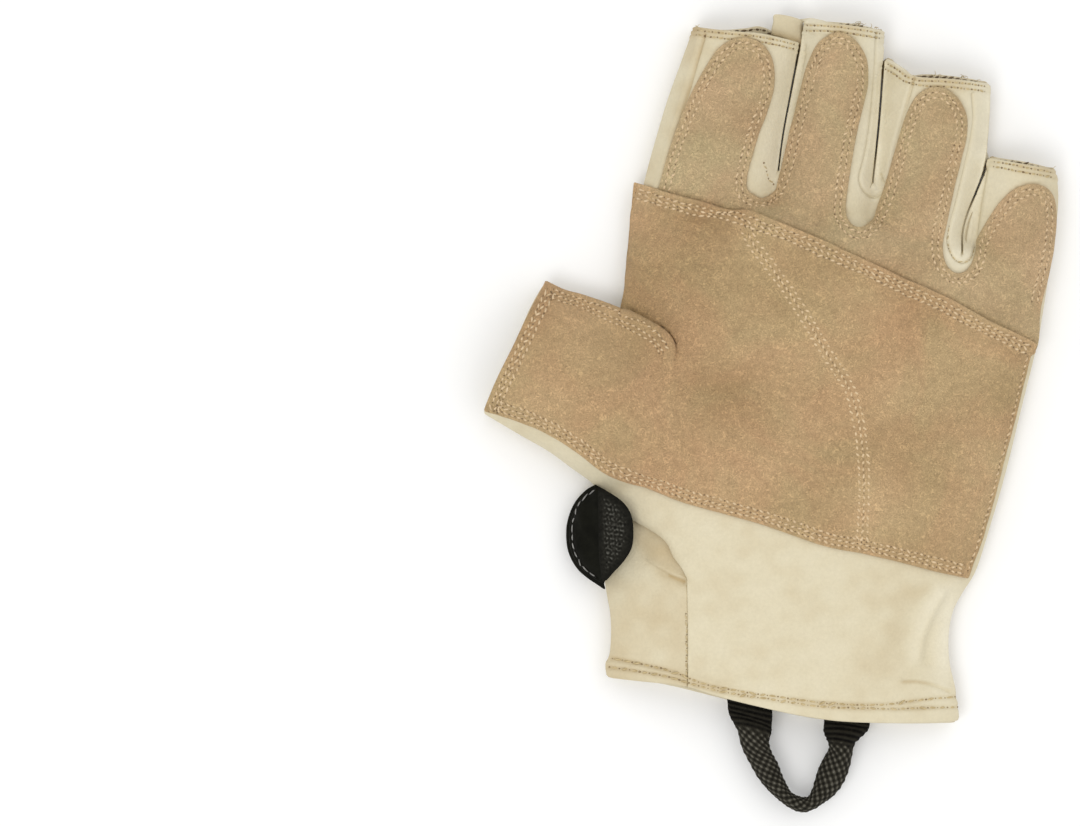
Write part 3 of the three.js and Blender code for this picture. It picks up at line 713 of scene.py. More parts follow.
CREAM = cream_leather()
# The suede's dark colours also serve painted shadow along edges and at the thumb's fold.
SUEDE_TOP = suede_leather("suede_overlay", (0.30, 0.205, 0.105), (0.462, 0.345, 0.204), (0.61, 0.465, 0.295))
SUEDE_LOW = suede_leather("suede_patch", (0.275, 0.18, 0.085), (0.464, 0.318, 0.178), (0.61, 0.445, 0.265))
THREAD = thread_material("tan_thread", (0.74, 0.565, 0.355), (0.58, 0.425, 0.24))
HEM_THREAD = thread_material("hem_thread", (0.63, 0.51, 0.29), (0.44, 0.335, 0.165))
CREAM_THREAD = thread_material("cream_thread", (0.68, 0.58, 0.38), (0.54, 0.43, 0.25))
DARK_THREAD = thread_material("dark_thread", (0.20, 0.135, 0.07), (0.11, 0.075, 0.04))
GREY_THREAD = thread_material("grey_thread", (0.33, 0.32, 0.30), (0.16, 0.155, 0.145))
# Needle holes: dark colours painted for the shade in the holes.
HOLE = thread_material("needle_hole", (0.27, 0.185, 0.095), (0.19, 0.125, 0.06))
HEM_HOLE = thread_material("hem_hole", (0.35, 0.26, 0.14), (0.24, 0.17, 0.085))
BLACK_HOLE = thread_material("black_hole", (0.01, 0.009, 0.008), (0.006, 0.005, 0.004))
BLACK = black_leather()
RIBBED = black_weave("ribbed_fabric", (0.003, 0.003, 0.002), (0.021, 0.02, 0.0155), (0.11, 0.108, 0.092), 900)
WEBBING = black_weave("black_webbing", (0.003, 0.0025, 0.002), (0.026, 0.0235, 0.017), (0.16, 0.15, 0.12),
                      700)


# Stitches: rows of thread that bow up between their needle holes

THREAD_TURNS = 6
THREAD_STEPS = 5
HOLE_TURNS = 6
rows_of = {}


def sew(group, line, lift, pitch=1.85, share=0.6, radius=0.31, slant=0.3, hole=0.24, seed=1, ground=skin,
        flip=False):
    """A row of stitches along a line of the plan. lift is how far the sewn face lies out of the ground, as a
    length or as a function of the places. share is the thread's part of the pitch."""
    rng = np.random.default_rng(seed)
    marks = even(line, pitch, 3)
    marks = marks + rng.normal(0, 0.09, marks.shape)
    middle = (marks[1:] + marks[:-1]) / 2
    half = (marks[1:] - marks[:-1]) / 2 * share * rng.uniform(0.72, 1.2, (len(middle), 1))
    aside = np.c_[-half[:, 1], half[:, 0]] * (slant + rng.normal(0, 0.25, (len(half), 1)))
    ends = []
    for p in (middle - half - aside, middle + half + aside, marks):
        place, out = ground(p)
        if flip:
            out = -out
        rise = lift(p) if callable(lift) else np.full(len(p), lift)
        ends.append((place + out * rise[:, None], out))
    rows_of.setdefault(group, []).append((ends, radius, hole * rng.uniform(0.5, 1.25, len(marks))))


def tube(first, turns, steps, mirrored=False):
    """The faces of a closed tube from its rings of points. mirrored is for rings that run clockwise."""
    faces = []
    for i in range(steps):
        for j in range(turns):
            k = (j + 1) % turns
            low, high = first + i * turns, first + (i + 1) * turns
            face = (low + j, low + k, high + k, high + j)
            faces.append((face[0], *face[:0:-1]) if mirrored else face)
    ends = [[first + j for j in reversed(range(turns))], [first + steps * turns + j for j in range(turns)]]
    return faces + [end[::-1] if mirrored else end for end in ends]


def capsules(ends, radius, points, faces):
    """Round threads between pairs of places, thicker and higher in their middle."""
    (a, out_a), (b, out_b) = ends
    along = b - a
    along /= np.linalg.norm(along, axis=1)[:, None] + 1e-9
    up = out_a + out_b
    up /= np.linalg.norm(up, axis=1)[:, None]
    side = np.cross(along, up)
    for start, end, u, v in zip(a, b, up, side):
        faces += tube(len(points), THREAD_TURNS, THREAD_STEPS, mirrored=True)
        for i in range(THREAD_STEPS + 1):
            t = i / THREAD_STEPS
            bow = math.sin(math.pi * t)
            core = start * (1 - t) + end * t + u * radius * (0.65 * bow - 0.6)
            r = radius * max(0.3, bow ** 0.45)
            for j in range(THREAD_TURNS):
                angle = math.tau * j / THREAD_TURNS
                points.append(core + v * (r * math.cos(angle)) + u * (r * 0.8 * math.sin(angle)))


def needle_holes(marks, out, sizes, points, faces):
    """Low dark buttons that stand for the holes, their dark colour painted shade in the holes."""
    flat = np.cross(out, np.roll(out, 1, 1) + [0.1, 0.2, 0.3])
    flat /= np.linalg.norm(flat, axis=1)[:, None]
    cross = np.cross(out, flat)
    n = HOLE_TURNS
    for mark, u, v, w, size in zip(marks, out, flat, cross, sizes):
        first = len(points)
        points.append(mark + u * 0.10)
        for ring, drop in ((0.6, 0.08), (1.0, -0.12)):
            for j in range(n):
                angle = math.tau * j / n
                points.append(mark + u * drop + (v * math.cos(angle) + w * math.sin(angle)) * size * ring)
        points.append(mark - u * 0.25)
        for j in range(n):
            k = (j + 1) % n
            inner, outer = first + 1, first + 1 + n
            faces.append((first, inner + j, inner + k))
            faces.append((inner + j, outer + j, outer + k, inner + k))
            faces.append((outer + n, outer + k, outer + j))


def threads(group, thread, dark=HOLE):
    """The joined mesh of all stitches of a group, and one of their needle holes."""
    points, faces, hole_points, hole_faces = [], [], [], []
    for ends, radius, hole in rows_of[group]:
        capsules(ends[:2], radius, points, faces)
        needle_holes(*ends[2], hole, hole_points, hole_faces)
    new_object(group, points, faces, thread)
    new_object(group + "_holes", hole_points, hole_faces, dark)


# Cream leather: seams, creases and turned edges in the photograph's pixels

SEAM_RUNS = [
    [(704, 37), (697, 60), (689, 88), (676, 132), (664, 176), (658, 196)],
    [(874, 36), (873, 70), (871, 100), (867.5, 131), (862, 161), (857.5, 176), (857, 183), (860, 190.5),
     (865, 196), (871, 198.7), (877, 196), (880.5, 190), (881, 183), (877.5, 177)],
    [(911, 80), (906, 98), (900, 120), (893, 146), (888, 168), (883, 190)],
    [(969, 96), (970.5, 119), (968, 140), (959.5, 178), (953, 205), (946.5, 228), (944.6, 245), (949.8, 259),
     (958.7, 264), (967.6, 259), (971.5, 248), (974, 230), (977, 208), (981, 186), (984, 169)],
    [(804, 48), (798, 80), (791, 112), (785, 144), (781.5, 170)],
]
INDEX_U = [(762.5, 165), (763.7, 171), (765.8, 176), (767.6, 181.5), (772, 185.8)]
RING_SIDE = [(887, 62), (909, 80), (903, 105), (893, 142), (886, 176), (879, 180), (882, 130), (885, 90)]
WRIST_SEAM = [(686, 684), (686, 640), (685, 577)]
WRIST_STITCHES = [(685.3, 674), (685.3, 640), (684.8, 612)]
CREASE = [(685, 577), (679, 566), (671.5, 555.5), (664, 541), (650, 530), (629, 518), (612, 504), (594, 486)]
WRINKLE = [(646, 561), (659, 569.5), (671, 576), (682, 581)]
CUFF_HIGH = [(611, 657), (640, 662.5), (672, 670), (700, 681), (719, 685.5), (760, 692), (820, 700.5),
             (878, 702.5), (905, 700), (930, 697), (954, 695.5)]
CUFF_LOW = [(609, 666), (640, 670), (672, 676), (700, 684.5), (719, 689), (760, 695.5), (820, 704),
            (878, 706.5), (905, 706.5), (930, 706), (956, 706)]
CUFF_TURN = [(957, 714), (952, 719), (920, 721), (890, 721), (820, 716), (742, 701), (686, 686), (606, 674)]
CRESCENT = [(940, 592), (929, 612), (920, 634), (916, 656)]
CUFF_CREASE = [(902, 680), (915, 680), (930, 683), (948, 690)]
FINGER_ROWS = (0.95, 2.3)   # the two rows of stitches from a finger's mouth
FINGER_HEM = 3.3            # width of the raised edge there
CUFF_HEM = 4.4              # and at the cuff
HEM_REACH = 6.8             # how far the turned edges go back inside
seam_lines = [run(p) for p in SEAM_RUNS]
ridge_line = side_of(run(SEAM_RUNS[0]), -1.5)
mouth_lines = [run(points) for points in MOUTHS.values()]
mouth_rows = [side_of(line, -reach) for line in mouth_lines for reach in FINGER_ROWS]
cuff_line = run(CUFF_TURN)
cuff_rows = [run(CUFF_HIGH), run(CUFF_LOW)]
crease_line = run(CREASE)
wrinkle_line = run(WRINKLE)
crescent = run(CRESCENT)
cuff_crease = run(CUFF_CREASE)


def dip(points, line, reach):
    """1 on a line, fading to 0 beside it."""
    return fade(away(points, line), reach)


def leather_relief(points):
    """Seams, hems and creases of the cream leather."""
    rise = np.zeros(len(points))
    for line in seam_lines:
        rise -= 0.6 * dip(points, line, 0.34)
        rise += 0.22 * dip(points, side_of(line, -0.9), 0.6)
    rise += 0.28 * dip(points, ridge_line, 0.5)
    for line in mouth_lines:
        rise += 0.35 * step_up((FINGER_HEM - away(points, line)) / 0.5)
    for row in mouth_rows:
        rise -= 0.38 * dip(points, row, 0.42)
    rise += 0.45 * step_up((CUFF_HEM - away(points, cuff_line)) / 1.2)
    for row in cuff_rows:
        rise -= 0.45 * dip(points, row, 0.5)
    rise += 0.5 * dip(points, side_of(crease_line, -1.6), 1.5)
    rise += 0.7 * dip(points, crescent, 1.3) - 0.8 * dip(points, side_of(crescent, 2.6), 1.6)
    rise += 0.35 * dip(points, side_of(cuff_crease, 0.9), 0.8) - 0.5 * dip(points, cuff_crease, 0.5)
    return rise


def hem_turn(points, lines):
    """The turned edge's second layer, inside the mouths."""
    return step_up((HEM_REACH - away(points, *lines)) / 0.6)


def cream_tone_and_painted_light(points):
    """Darker in seams and rows of stitches, with painted shade in creases, a dent, the slits and along the
    suede's edge, and painted highlights beside the slits, on the crescent fold and at the cuff's right edge.
    """
    tone = 0.06 * ripple(points, 24, 41) + 0.05 * ripple(points, 7, 42)
    tone -= 0.08 * step_up((points[:, 1] - plan([(0, 420)])[0, 1]) / 40)
    # Painted shade in the dent left of the crescent fold; a painted highlight beside the fold's crest and a
    # little painted shade on the crest.
    tone -= 0.2 * bump(points, (893, 625), (8, 14), -12)
    tone += 0.5 * dip(points, side_of(crescent, -1.2), 2.4) - 0.15 * dip(points, crescent, 0.5)
    # Painted highlight along the cuff's right edge; painted shadow under the palm patch's lower right corner.
    tone += 0.9 * bump(points, (946, 635), (3.5, 14), -8) - 0.2 * bump(points, (925, 586), (9, 2.2), 20)
    # Painted shade in the crease above the cuff's hem; darker along the index finger's left seam.
    tone -= 0.3 * dip(points, cuff_crease, 0.35) + 0.15 * bump(points, (684, 90), (2.5, 20), -12)
    tone -= 0.1 * step_up(depth(points, ring_side)[0] / 2 + 0.5)
    for line in seam_lines:
        tone -= 0.3 * dip(points, line, 0.34)
    # Painted shadow along the edge of the suede over the fingers.
    tone -= 0.4 * dip(points, lobe_line, 0.4)
    for row in mouth_rows + cuff_rows:
        tone -= 0.22 * dip(points, row, 0.7)
    for line in mouth_lines:
        tone -= 0.12 * dip(points, line, 1.2)
    # Painted light within a few millimetres of the slits, against the shade of the valleys between fingers,
    # and painted shade in the slits themselves.
    beside = away(points, *slit_lines)
    tone += 0.75 * fade(beside, 6) - 1.2 * fade(beside, 0.3)
    # Painted shade along the crease at the thumb's base.
    return tone - 0.1 * dip(points, crease_line, 1.2)


def palm_faces(points):
    return -LEATHER - hem_turn(points, mouth_lines + [cuff_line]), leather_relief(points)


ring_side = loop(run(RING_SIDE))
top_outline = loop(
    run(WRIST_SEAM), run(CREASE), run(THUMB_LOW), run(THUMB_MOUTH), run(THUMB_HIGH), run(PALM_LEFT),
    run(MOUTHS["index"]), slit(SLIT_ONE, 44, 24), run(MOUTHS["middle"]), slit(SLIT_TWO, 33, 60),
    run(MOUTHS["ring"]), slit(SLIT_THREE, 86, 159), run(MOUTHS["little"]), run(RIGHT_SIDE),
    run(CUFF_EDGE[:5] + [(686, 685)]),
)
sheet("palm_leather_sewn", top_outline, palm_faces, CREAM,
      ("palm_leather", "thumb_palm_leather", *GUSSETS, *FINGER_HEMS), rim=0.35, tone_at=cream_tone_and_painted_light,
      lines=seam_lines + mouth_rows + cuff_rows + [ridge_line, crescent, cuff_crease])


def wrist_faces(points):
    near = away(points, crease_line)
    sink = -1.1 * step_up((4.0 - near) / 4.0) - 0.4 * dip(points, wrinkle_line, 0.5)
    sink += 0.25 * dip(points, side_of(wrinkle_line, 0.9), 0.7)
    low = -LEATHER + sink - hem_turn(points, mouth_lines + [cuff_line])
    return low, sink + leather_relief(points) - 0.1


def wrist_tone_and_painted_light(points):
    # Darker than the palm's leather overall, with painted shade below the crease.
    tone = cream_tone_and_painted_light(points) - 0.18 - 0.32 * bump(points, (655, 551), (9, 3.6), -48)
    # Painted light where the closure tab's shadow falls.
    tone += 0.15 * bump(points, (622, 545), (7, 12), 0)
    # Painted shade in the wrinkle.
    return tone - 0.45 * dip(points, wrinkle_line[14:], 0.3)


wrist_outline = loop(run(LEFT_WRIST), run(CREASE[::-1]), run(WRIST_SEAM[::-1]) + [0.12, 0],
                     run([(686, 685), (664, 682), (612, 677), (606, 674)]))
sheet("wrist_panel_sewn", wrist_outline, wrist_faces, CREAM, ("wrist_side_panel",), rim=0.35,
      lines=[wrinkle_line] + cuff_rows, spacing=0.9, tone_at=wrist_tone_and_painted_light)

BACK_MOUTHS = {
    "thumb": [(483, 414), (499, 378), (516, 343), (532, 308), (545, 285)],
    "index": [(692, 26), (720, 30), (745, 28.5), (758, 26.5), (769, 30), (779, 37), (799, 43)],
    "middle": [(800.5, 20.5), (809, 21), (830, 22), (855, 24.5), (884.5, 31)],
    "ring": [(884.5, 59), (898, 67), (912, 75), (925, 74.5), (950, 76), (988, 82)],
    "little": [(987, 156), (1005, 159), (1025, 162), (1055, 169)],
}
BACK_CUFF = [(957, 716), (952, 722), (890, 723), (820, 719), (742, 703), (664, 684), (606, 676)]
back_lines = {name: run(points) for name, points in BACK_MOUTHS.items()}
back_cuff_line = run(BACK_CUFF)
back_edges = [*back_lines.values(), back_cuff_line]


def back_faces(points):
    relief = 0.1 * ripple(points, 16, 61)
    for line in back_edges:
        relief -= 0.3 * fade(away(points, line) - FINGER_ROWS[1], 0.45)
    return -LEATHER - hem_turn(points, back_edges), relief


def back_tone_and_painted_shade(points):
    # Darker overall and near the outline: painted shade on the lower sheet, which lies under the upper one.
    return 0.08 * ripple(points, 24, 62) - 0.1 - 0.15 * fade(depth(points, body)[0], 1.4)


back_outline = loop(
    run(LEFT_WRIST), run(THUMB_LOW), back_lines["thumb"], run(THUMB_HIGH), run(PALM_LEFT),
    back_lines["index"], slit(SLIT_ONE, 44, 22), back_lines["middle"], slit(SLIT_TWO, 32, 58),
    back_lines["ring"], slit(SLIT_THREE, 83, 157), back_lines["little"], run(RIGHT_SIDE), back_cuff_line,
)
sheet("back_leather_sewn", back_outline, back_faces, CREAM,
      ("back_leather", "thumb_back_leather", "thumb_hem", "cuff_hem"), ground=back_skin, spacing=1.6,
      tone_at=back_tone_and_painted_shade)

FLAP = [(802.5, 22), (790, 18), (774, 16.5), (772.5, 24), (770.5, 36), (779, 39), (788, 42.5), (799, 46),
        (803, 46)]
FLAP_SHADE = [(771, 36), (779, 38), (788, 41), (800, 44)]
FLAP_HIGH = 8.6
FLAP_DROP = 1.6     # how much lower the flap lies 7 mm on
FLAP_THICK = 1.2


def flap_ground(points):
    """The back hem of the middle finger lies open past its front hem."""
    reach = (points[:, 0] - plan([(773, 0)])[0, 0]) / 7
    return np.c_[points, FLAP_HIGH - FLAP_DROP * reach], np.tile([0.2, 0.0, 0.98], (len(points), 1))


def flap_tone_and_painted_shade(points):
    # A little darker overall, with painted shade along the edge where the flap runs under the index hem.
    return -0.12 - 0.4 * dip(points, run(FLAP_SHADE), 1.2)


sheet("middle_hem_end", loop(run(FLAP)), lambda p: (-FLAP_THICK, 0.0), CREAM,
      ground=flap_ground, spacing=0.6, rings=RINGS[:5], tone_at=flap_tone_and_painted_shade)


# Suede

# Distances of the rows of stitches from the edges
OVERLAY_ROWS = (1.45, 2.85)
PATCH_ROWS = (1.5, 2.65, 3.8)
LOW_ROWS = (1.2, 2.35, 3.5)
TROUGH = 0.24
TROUGH_REACH = 0.55
SUNK = 0.1          # how deep the thread lies in the suede


def troughs(points, rows):
    """The thread pulls the suede down along its rows."""
    rise = np.zeros(len(points))
    for row in rows:
        rise -= TROUGH * dip(points, row, TROUGH_REACH)
    return rise


lobe_rows = [side_of(lobe_line, -r)[2:-1] for r in OVERLAY_ROWS]
patch_top_line = run(PATCH_TOP)
patch_low_line = run(PATCH_LOW)
top_rows = [side_of(patch_top_line, -r)[3:-3] for r in PATCH_ROWS]
low_rows = [side_of(patch_low_line, -r)[4:-6] for r in LOW_ROWS]
seam_rows = [side_of(seam_line, r)[10:-6] for r in (-1.3, 0, 1.3)]
right_row = side_of(run(PATCH_RIGHT), -1.1)[8:-4]
thumb_end = run(THUMB_MOUTH)
thumb_rows = [side_of(thumb_end, -r)[5:-4] for r in PATCH_ROWS]
thumb_edge = run(THUMB_HIGH[:3] + FOLD[3:7])
fold_rows = [side_of(thumb_edge, -r)[6:] for r in LOW_ROWS]


def overlay_faces(points):
    return 0.02, OVERLAY + troughs(points, lobe_rows) + 0.06 * ripple(points, 9, 21)


def overlay_tone_and_painted_shadow(points):
    tone = 0.13 * ripple(points, 26, 51) + 0.2 * dip(points, lobe_line, 0.5)
    # Painted shadow on the overlay just above the palm patch's raised top edge.
    tone -= 0.5 * dip(points, side_of(patch_top_line, 0.3), 0.45)
    return tone + 0.1 * sum(dip(points, row, 0.8) for row in lobe_rows)


def overlap(points):
    """How far a patch is lifted where the overlay lies under it."""
    return OVERLAY * step_up((depth(points, overlay_outline)[0] + 0.5) / 1.2)


def patch_faces(rows):
    """The faces of a patch with these rows of stitches in it."""
    def faces_at(points):
        under = overlap(points) + 0.04
        relief = troughs(points, rows) + 0.08 * ripple(points, 8, 31)
        return under, under + PATCH + relief + thumb_fold(points, 1.0, 0.7, 0.3, 2.6)
    return faces_at


def patch_tone_and_painted_shade(points):
    tone = 0.16 * ripple(points, 34, 53) - 0.4 * bump(points, (690, 285), (22, 17), -20)
    tone -= 0.2 * bump(points, (680, 425), (16, 11), 30)
    tone += 0.4 * dip(points, patch_top_line, 0.7) + 0.15 * dip(points, patch_low_line, 0.5)
    tone += 0.12 * sum(dip(points, row, 0.8) for row in top_rows + low_rows + seam_rows)
    # Painted shade on the palm's side of the thumb's fold, fading along the fold.
    d, _, share, on_left = foot(points, fold_line)
    return tone - 0.6 * on_left * fade(d, 5) * (1 - step_up((share - 0.35) / 0.5))


palm_rows = top_rows + low_rows + seam_rows[:1] + [right_row]
left_rows = top_rows + low_rows + seam_rows[2:] + thumb_rows + fold_rows
sheet("suede_overlay_sewn", overlay_outline, overlay_faces, SUEDE_TOP, ("suede_finger_overlay",),
      rim=0.45, spacing=1.0, tone_at=overlay_tone_and_painted_shadow)
sheet("suede_palm_sewn", palm_outline, patch_faces(palm_rows), SUEDE_LOW, ("suede_palm_patch",),
      rim=0.4, spacing=1.0, tone_at=patch_tone_and_painted_shade)
sheet("suede_thumb_sewn", thumb_outline, patch_faces(left_rows), SUEDE_LOW, ("suede_thumb_patch",),
      rim=0.4, spacing=1.0, lines=[fold_line], tone_at=patch_tone_and_painted_shade)


def on_patch(points):
    return patch_faces([])(points)[1] - SUNK


def on_leather(points):
    return leather_relief(points) + 0.04


for i, row in enumerate(lobe_rows):
    sew("finger_stitches", row, OVERLAY - SUNK, slant=0.3 - 0.6 * i, seed=i)
for i, row in enumerate(top_rows + low_rows + thumb_rows + [right_row]):
    sew("palm_stitches", row, on_patch, slant=0.35 - 0.7 * (i % 2), seed=20 + i)
for i, row in enumerate(fold_rows):
    sew("palm_stitches", row, on_patch, pitch=1.7, share=0.55, radius=0.3, slant=0.2, seed=36 + i)
for i, row in enumerate(seam_rows):
    sew("palm_stitches", row, on_patch, share=0.7, radius=0.34, slant=0.5 - i % 2, hole=0.27, seed=40 + i)
threads("finger_stitches", THREAD)
threads("palm_stitches", THREAD)
for i, row in enumerate(mouth_rows):
    sew("hem_stitches", row[3:-3], on_leather, radius=0.28, hole=0.42, slant=0.1, seed=50 + i)
sew("hem_stitches", run(INDEX_U), on_leather, radius=0.18, hole=0.32, slant=0.1, seed=65)
sew("hem_stitches", run(SEAM_RUNS[3][5:11]), on_leather, radius=0.16, hole=0.24, slant=0.1, seed=66)
threads("hem_stitches", HEM_THREAD)
for i, row in enumerate(cuff_rows):
    sew("cuff_stitches", row, on_leather, 2.7, share=0.7, radius=0.3, hole=0.34, slant=0.15, seed=70 + i)
sew("cuff_stitches", run(WRIST_STITCHES), on_leather, pitch=1.8, share=0.7, radius=0.16, hole=0.2, seed=80)
threads("cuff_stitches", HEM_THREAD, HEM_HOLE)
for i, name in enumerate(FINGERS):
    row = side_of(back_lines[name], -0.7)[4:-4]
    sew("inner_stitches", row, LEATHER + 1.05, share=0.8, radius=0.3, hole=0.2, seed=90 + i, ground=back_skin,
        flip=True)
threads("inner_stitches", DARK_THREAD)
for i, line in enumerate(back_edges):
    row = side_of(line, -FINGER_ROWS[1])[5:-5]
    sew("back_stitches", row, -0.2, pitch=2.2, radius=0.2, hole=0.2, seed=100 + i, ground=back_skin)
threads("back_stitches", CREAM_THREAD)


# Loose thread ends at the hems: where, how high, how many

TUFTS = [
    ((856, 25), 2.4, 7), ((861, 26), 2.4, 4), ((872, 28.5), 2.4, 3), ((820, 23), 2.4, 3),
    ((962, 78), 2.4, 5), ((935, 76), 2.4, 3), ((979, 82), 2.4, 3), ((1052, 171), 7.5, 2),
    ((695, 30), 7.5, 2), ((990, 160), 7.0, 2),
]
END_TURNS = 5
END_STEPS = 7
END_STEP = 0.2
END_RADIUS = 0.11


def tufts(spots):
    rng = np.random.default_rng(7)
    points, faces = [], []
    for spot, high, count in spots:
        start = np.array([*plan([spot])[0], high])
        for _ in range(count):
            heading = rng.uniform(0.2, math.pi - 0.2)
            bend = rng.uniform(-3.5, 3.5)
            at = start + [rng.uniform(-0.9, 0.9), 0, 0]
            faces += tube(len(points), END_TURNS, END_STEPS)
            for i in range(END_STEPS + 1):
                ahead = np.array([math.cos(heading), math.sin(heading), 0.15])
                side = np.array([-ahead[1], ahead[0], 0])
                r = END_RADIUS * (1 - 0.6 * i / END_STEPS)
                for j in range(END_TURNS):
                    angle = math.tau * j / END_TURNS
                    points.append(at + side * r * math.cos(angle) + np.array([0, 0, r * math.sin(angle)]))
                at = at + ahead * END_STEP
                heading += bend * END_STEP
    new_object("loose_threads", points, faces, CREAM_THREAD)


tufts(TUFTS)


# Closure tab

def plate(name):
    """The top face of a packed plate as ground for a sheet."""
    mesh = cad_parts[name].data
    face = max((p for p in mesh.polygons if p.normal.z > 0.5), key=lambda p: p.area)
    n = np.array(face.normal)
    d = np.array(mesh.vertices[face.vertices[0]].co) @ n / MM

    def ground(points):
        z = (d - points @ n[:2]) / n[2]
        return np.c_[points, z], np.tile(n, (len(points), 1))

    return ground


# The three layers and the row of stitches in the photograph's pixels
TAB_BACKING = [(594, 484), (585, 489.5), (576, 499), (569.5, 511), (565.5, 527), (566, 545), (570, 558),
               (577, 569), (586, 577), (595, 583), (603.5, 588), (603, 581), (611, 571), (620, 558),
               (625, 535), (622, 512), (610, 494)]
TAB_LEATHER = [(595, 487), (586, 492), (577.5, 500.5), (571.5, 512), (567.8, 528), (568.2, 544.5), (572, 557),
               (579, 567), (588, 574.5), (600, 581), (606, 570), (608, 535), (604, 500)]
TAB_RIBBED = [(596, 486.5), (610, 493.5), (621, 502), (628, 513), (630.3, 527), (629, 545), (622, 558),
              (612, 569.5), (601.5, 579.5), (598, 565), (596.5, 545), (596.5, 520), (596, 500)]
TAB_THREAD = [(597, 488), (590, 491.5), (581.5, 498.5), (575.5, 507), (571.7, 519), (570.7, 531), (572, 545),
              (575.3, 556), (581, 565), (588.5, 572.5), (597, 577.5)]
RIB_MIDDLE = (600, 532)
RIB = 1.3
RIB_BOW = 0.02
BACKING_THICK = 1.0
TAB_THICK = 1.4
RIBBED_THICK = 1.6
TAB_STEP = 0.3
tab_row = run(TAB_THREAD, TAB_STEP)


def closed(points):
    """A smooth closed outline through points of the photograph."""
    return loop(run(points + points[:1], TAB_STEP))


def ribs(points):
    """Curved ribs with the small uneven loops of a hooked fabric."""
    center = plan([RIB_MIDDLE])[0]
    v = points[:, 1] - center[1] + RIB_BOW * (points[:, 0] - center[0]) ** 2
    wave = 0.5 + 0.5 * np.cos(v * math.tau / RIB)
    loops = 0.6 + 0.45 * ripple(points, 1.0, 17, 20)
    return np.clip((0.45 + 0.55 * wave) * loops, 0, 1.3)


ribbed_outline = closed(TAB_RIBBED)


def hooked(points):
    """The ribs, which fade out towards the edge."""
    return ribs(points) * step_up((depth(points, ribbed_outline)[0] - 0.3) / 2.4)


def tab_leather_faces(points):
    """The leather swells away from its row of stitches."""
    relief = 0.15 * ripple(points, 6, 71) - 0.35 * dip(points, tab_row, 0.45)
    return -TAB_THICK, relief + 0.35 * step_up((away(points, tab_row) - 0.3) / 2.5) - 0.35


sheet("tab_backing_sewn", closed(TAB_BACKING), lambda p: (-BACKING_THICK, 0.0), BLACK,
      ("closure_tab_backing",), ground=plate("closure_tab_backing"), spacing=0.7, rings=RINGS[:6])
sheet("tab_leather_sewn", closed(TAB_LEATHER), tab_leather_faces, BLACK,
      ("closure_tab_leather",), ground=plate("closure_tab_leather"), spacing=0.6, rings=RINGS[:6],
      lines=[tab_row], rim=0.7)
sheet("tab_ribbed_sewn", ribbed_outline, lambda p: (-RIBBED_THICK, 0.5 * hooked(p) - 0.3), RIBBED,
      ("closure_tab_ribbed",), ground=plate("closure_tab_ribbed"), spacing=0.28,
      rings=RINGS[:5], rim=0.7, tone_at=lambda p: 1.5 * hooked(p) - 0.6)
sew("tab_stitches", tab_row[3:-3], -0.48, pitch=2.3, share=0.82, radius=0.2, hole=0.16, slant=0, seed=110,
    ground=plate("closure_tab_leather"))
threads("tab_stitches", GREY_THREAD, BLACK_HOLE)
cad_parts["closure_strap"].material_slots[0].material = BLACK


# Webbing loop: the two edges of the band in the photograph's pixels, and the height of its middle line

LOOP = [
    ((724, 688), (769, 697), 9.1), ((726.5, 701), (771, 711), 9.0), ((727.5, 710), (770.5, 722), 8.8),
    ((733, 720), (769.5, 731), 8.3), ((738, 729), (767, 741), 7.6), ((742, 745), (770, 752), 7.0),
    ((750, 761), (776, 763), 6.7), ((758, 775), (780, 774), 6.6), ((768, 787), (785, 785), 6.6),
    ((779, 797), (789, 792), 6.6), ((790, 805), (796, 796), 6.6), ((801, 809), (803, 797.5), 6.6),
    ((812, 806), (809, 796), 6.6), ((822, 800), (813, 788), 6.6), ((831, 794), (816, 777), 6.6),
    ((839, 785), (819, 767), 6.6), ((844.5, 774), (824, 757), 6.7), ((848, 762), (828.5, 749), 7.0),
    ((850, 751), (829, 743), 7.4), ((853, 741), (826, 736), 7.8), ((861, 733), (823, 729), 8.4),
    ((867.5, 725), (822.5, 719), 8.9), ((867, 711), (821, 705), 9.0),
]
BAND = 12.0         # width of the flat band
BAND_HALF = 0.75    # half its thickness
BAND_LOW = 1.0      # the band's edges lie no lower
BAND_COUNT = 24
CURL = 0.47         # how high the fold stands for each millimetre that it narrows the band
CURL_TURN = math.pi / 2 * 0.92
TACKED = 10.5       # length at each end that is sewn flat, with stitches across
TACK_PITCH = 1.35
WEAVE_PITCH = 2.1
WEAVE_HIGH = 0.16


def band_faces(count):
    """The faces of a closed band of count rows of points, its upper side's points before its lower side's."""
    width = BAND_COUNT + 1
    half = count * width
    faces = []
    for i in range(count - 1):
        for j in range(BAND_COUNT):
            k = i * width + j
            faces.append((k, k + width, k + width + 1, k + 1))
            faces.append((half + k, half + k + 1, half + k + width + 1, half + k + width))
        for j, turned in ((0, True), (BAND_COUNT, False)):
            k = i * width + j
            side = (k, k + width, half + k + width, half + k)
            faces.append(side[::-1] if turned else side)
    for i, turned in ((0, True), (count - 1, False)):
        for j in range(BAND_COUNT):
            k = i * width + j
            end = (k, k + 1, half + k + 1, half + k)
            faces.append(end if turned else end[::-1])
    return faces


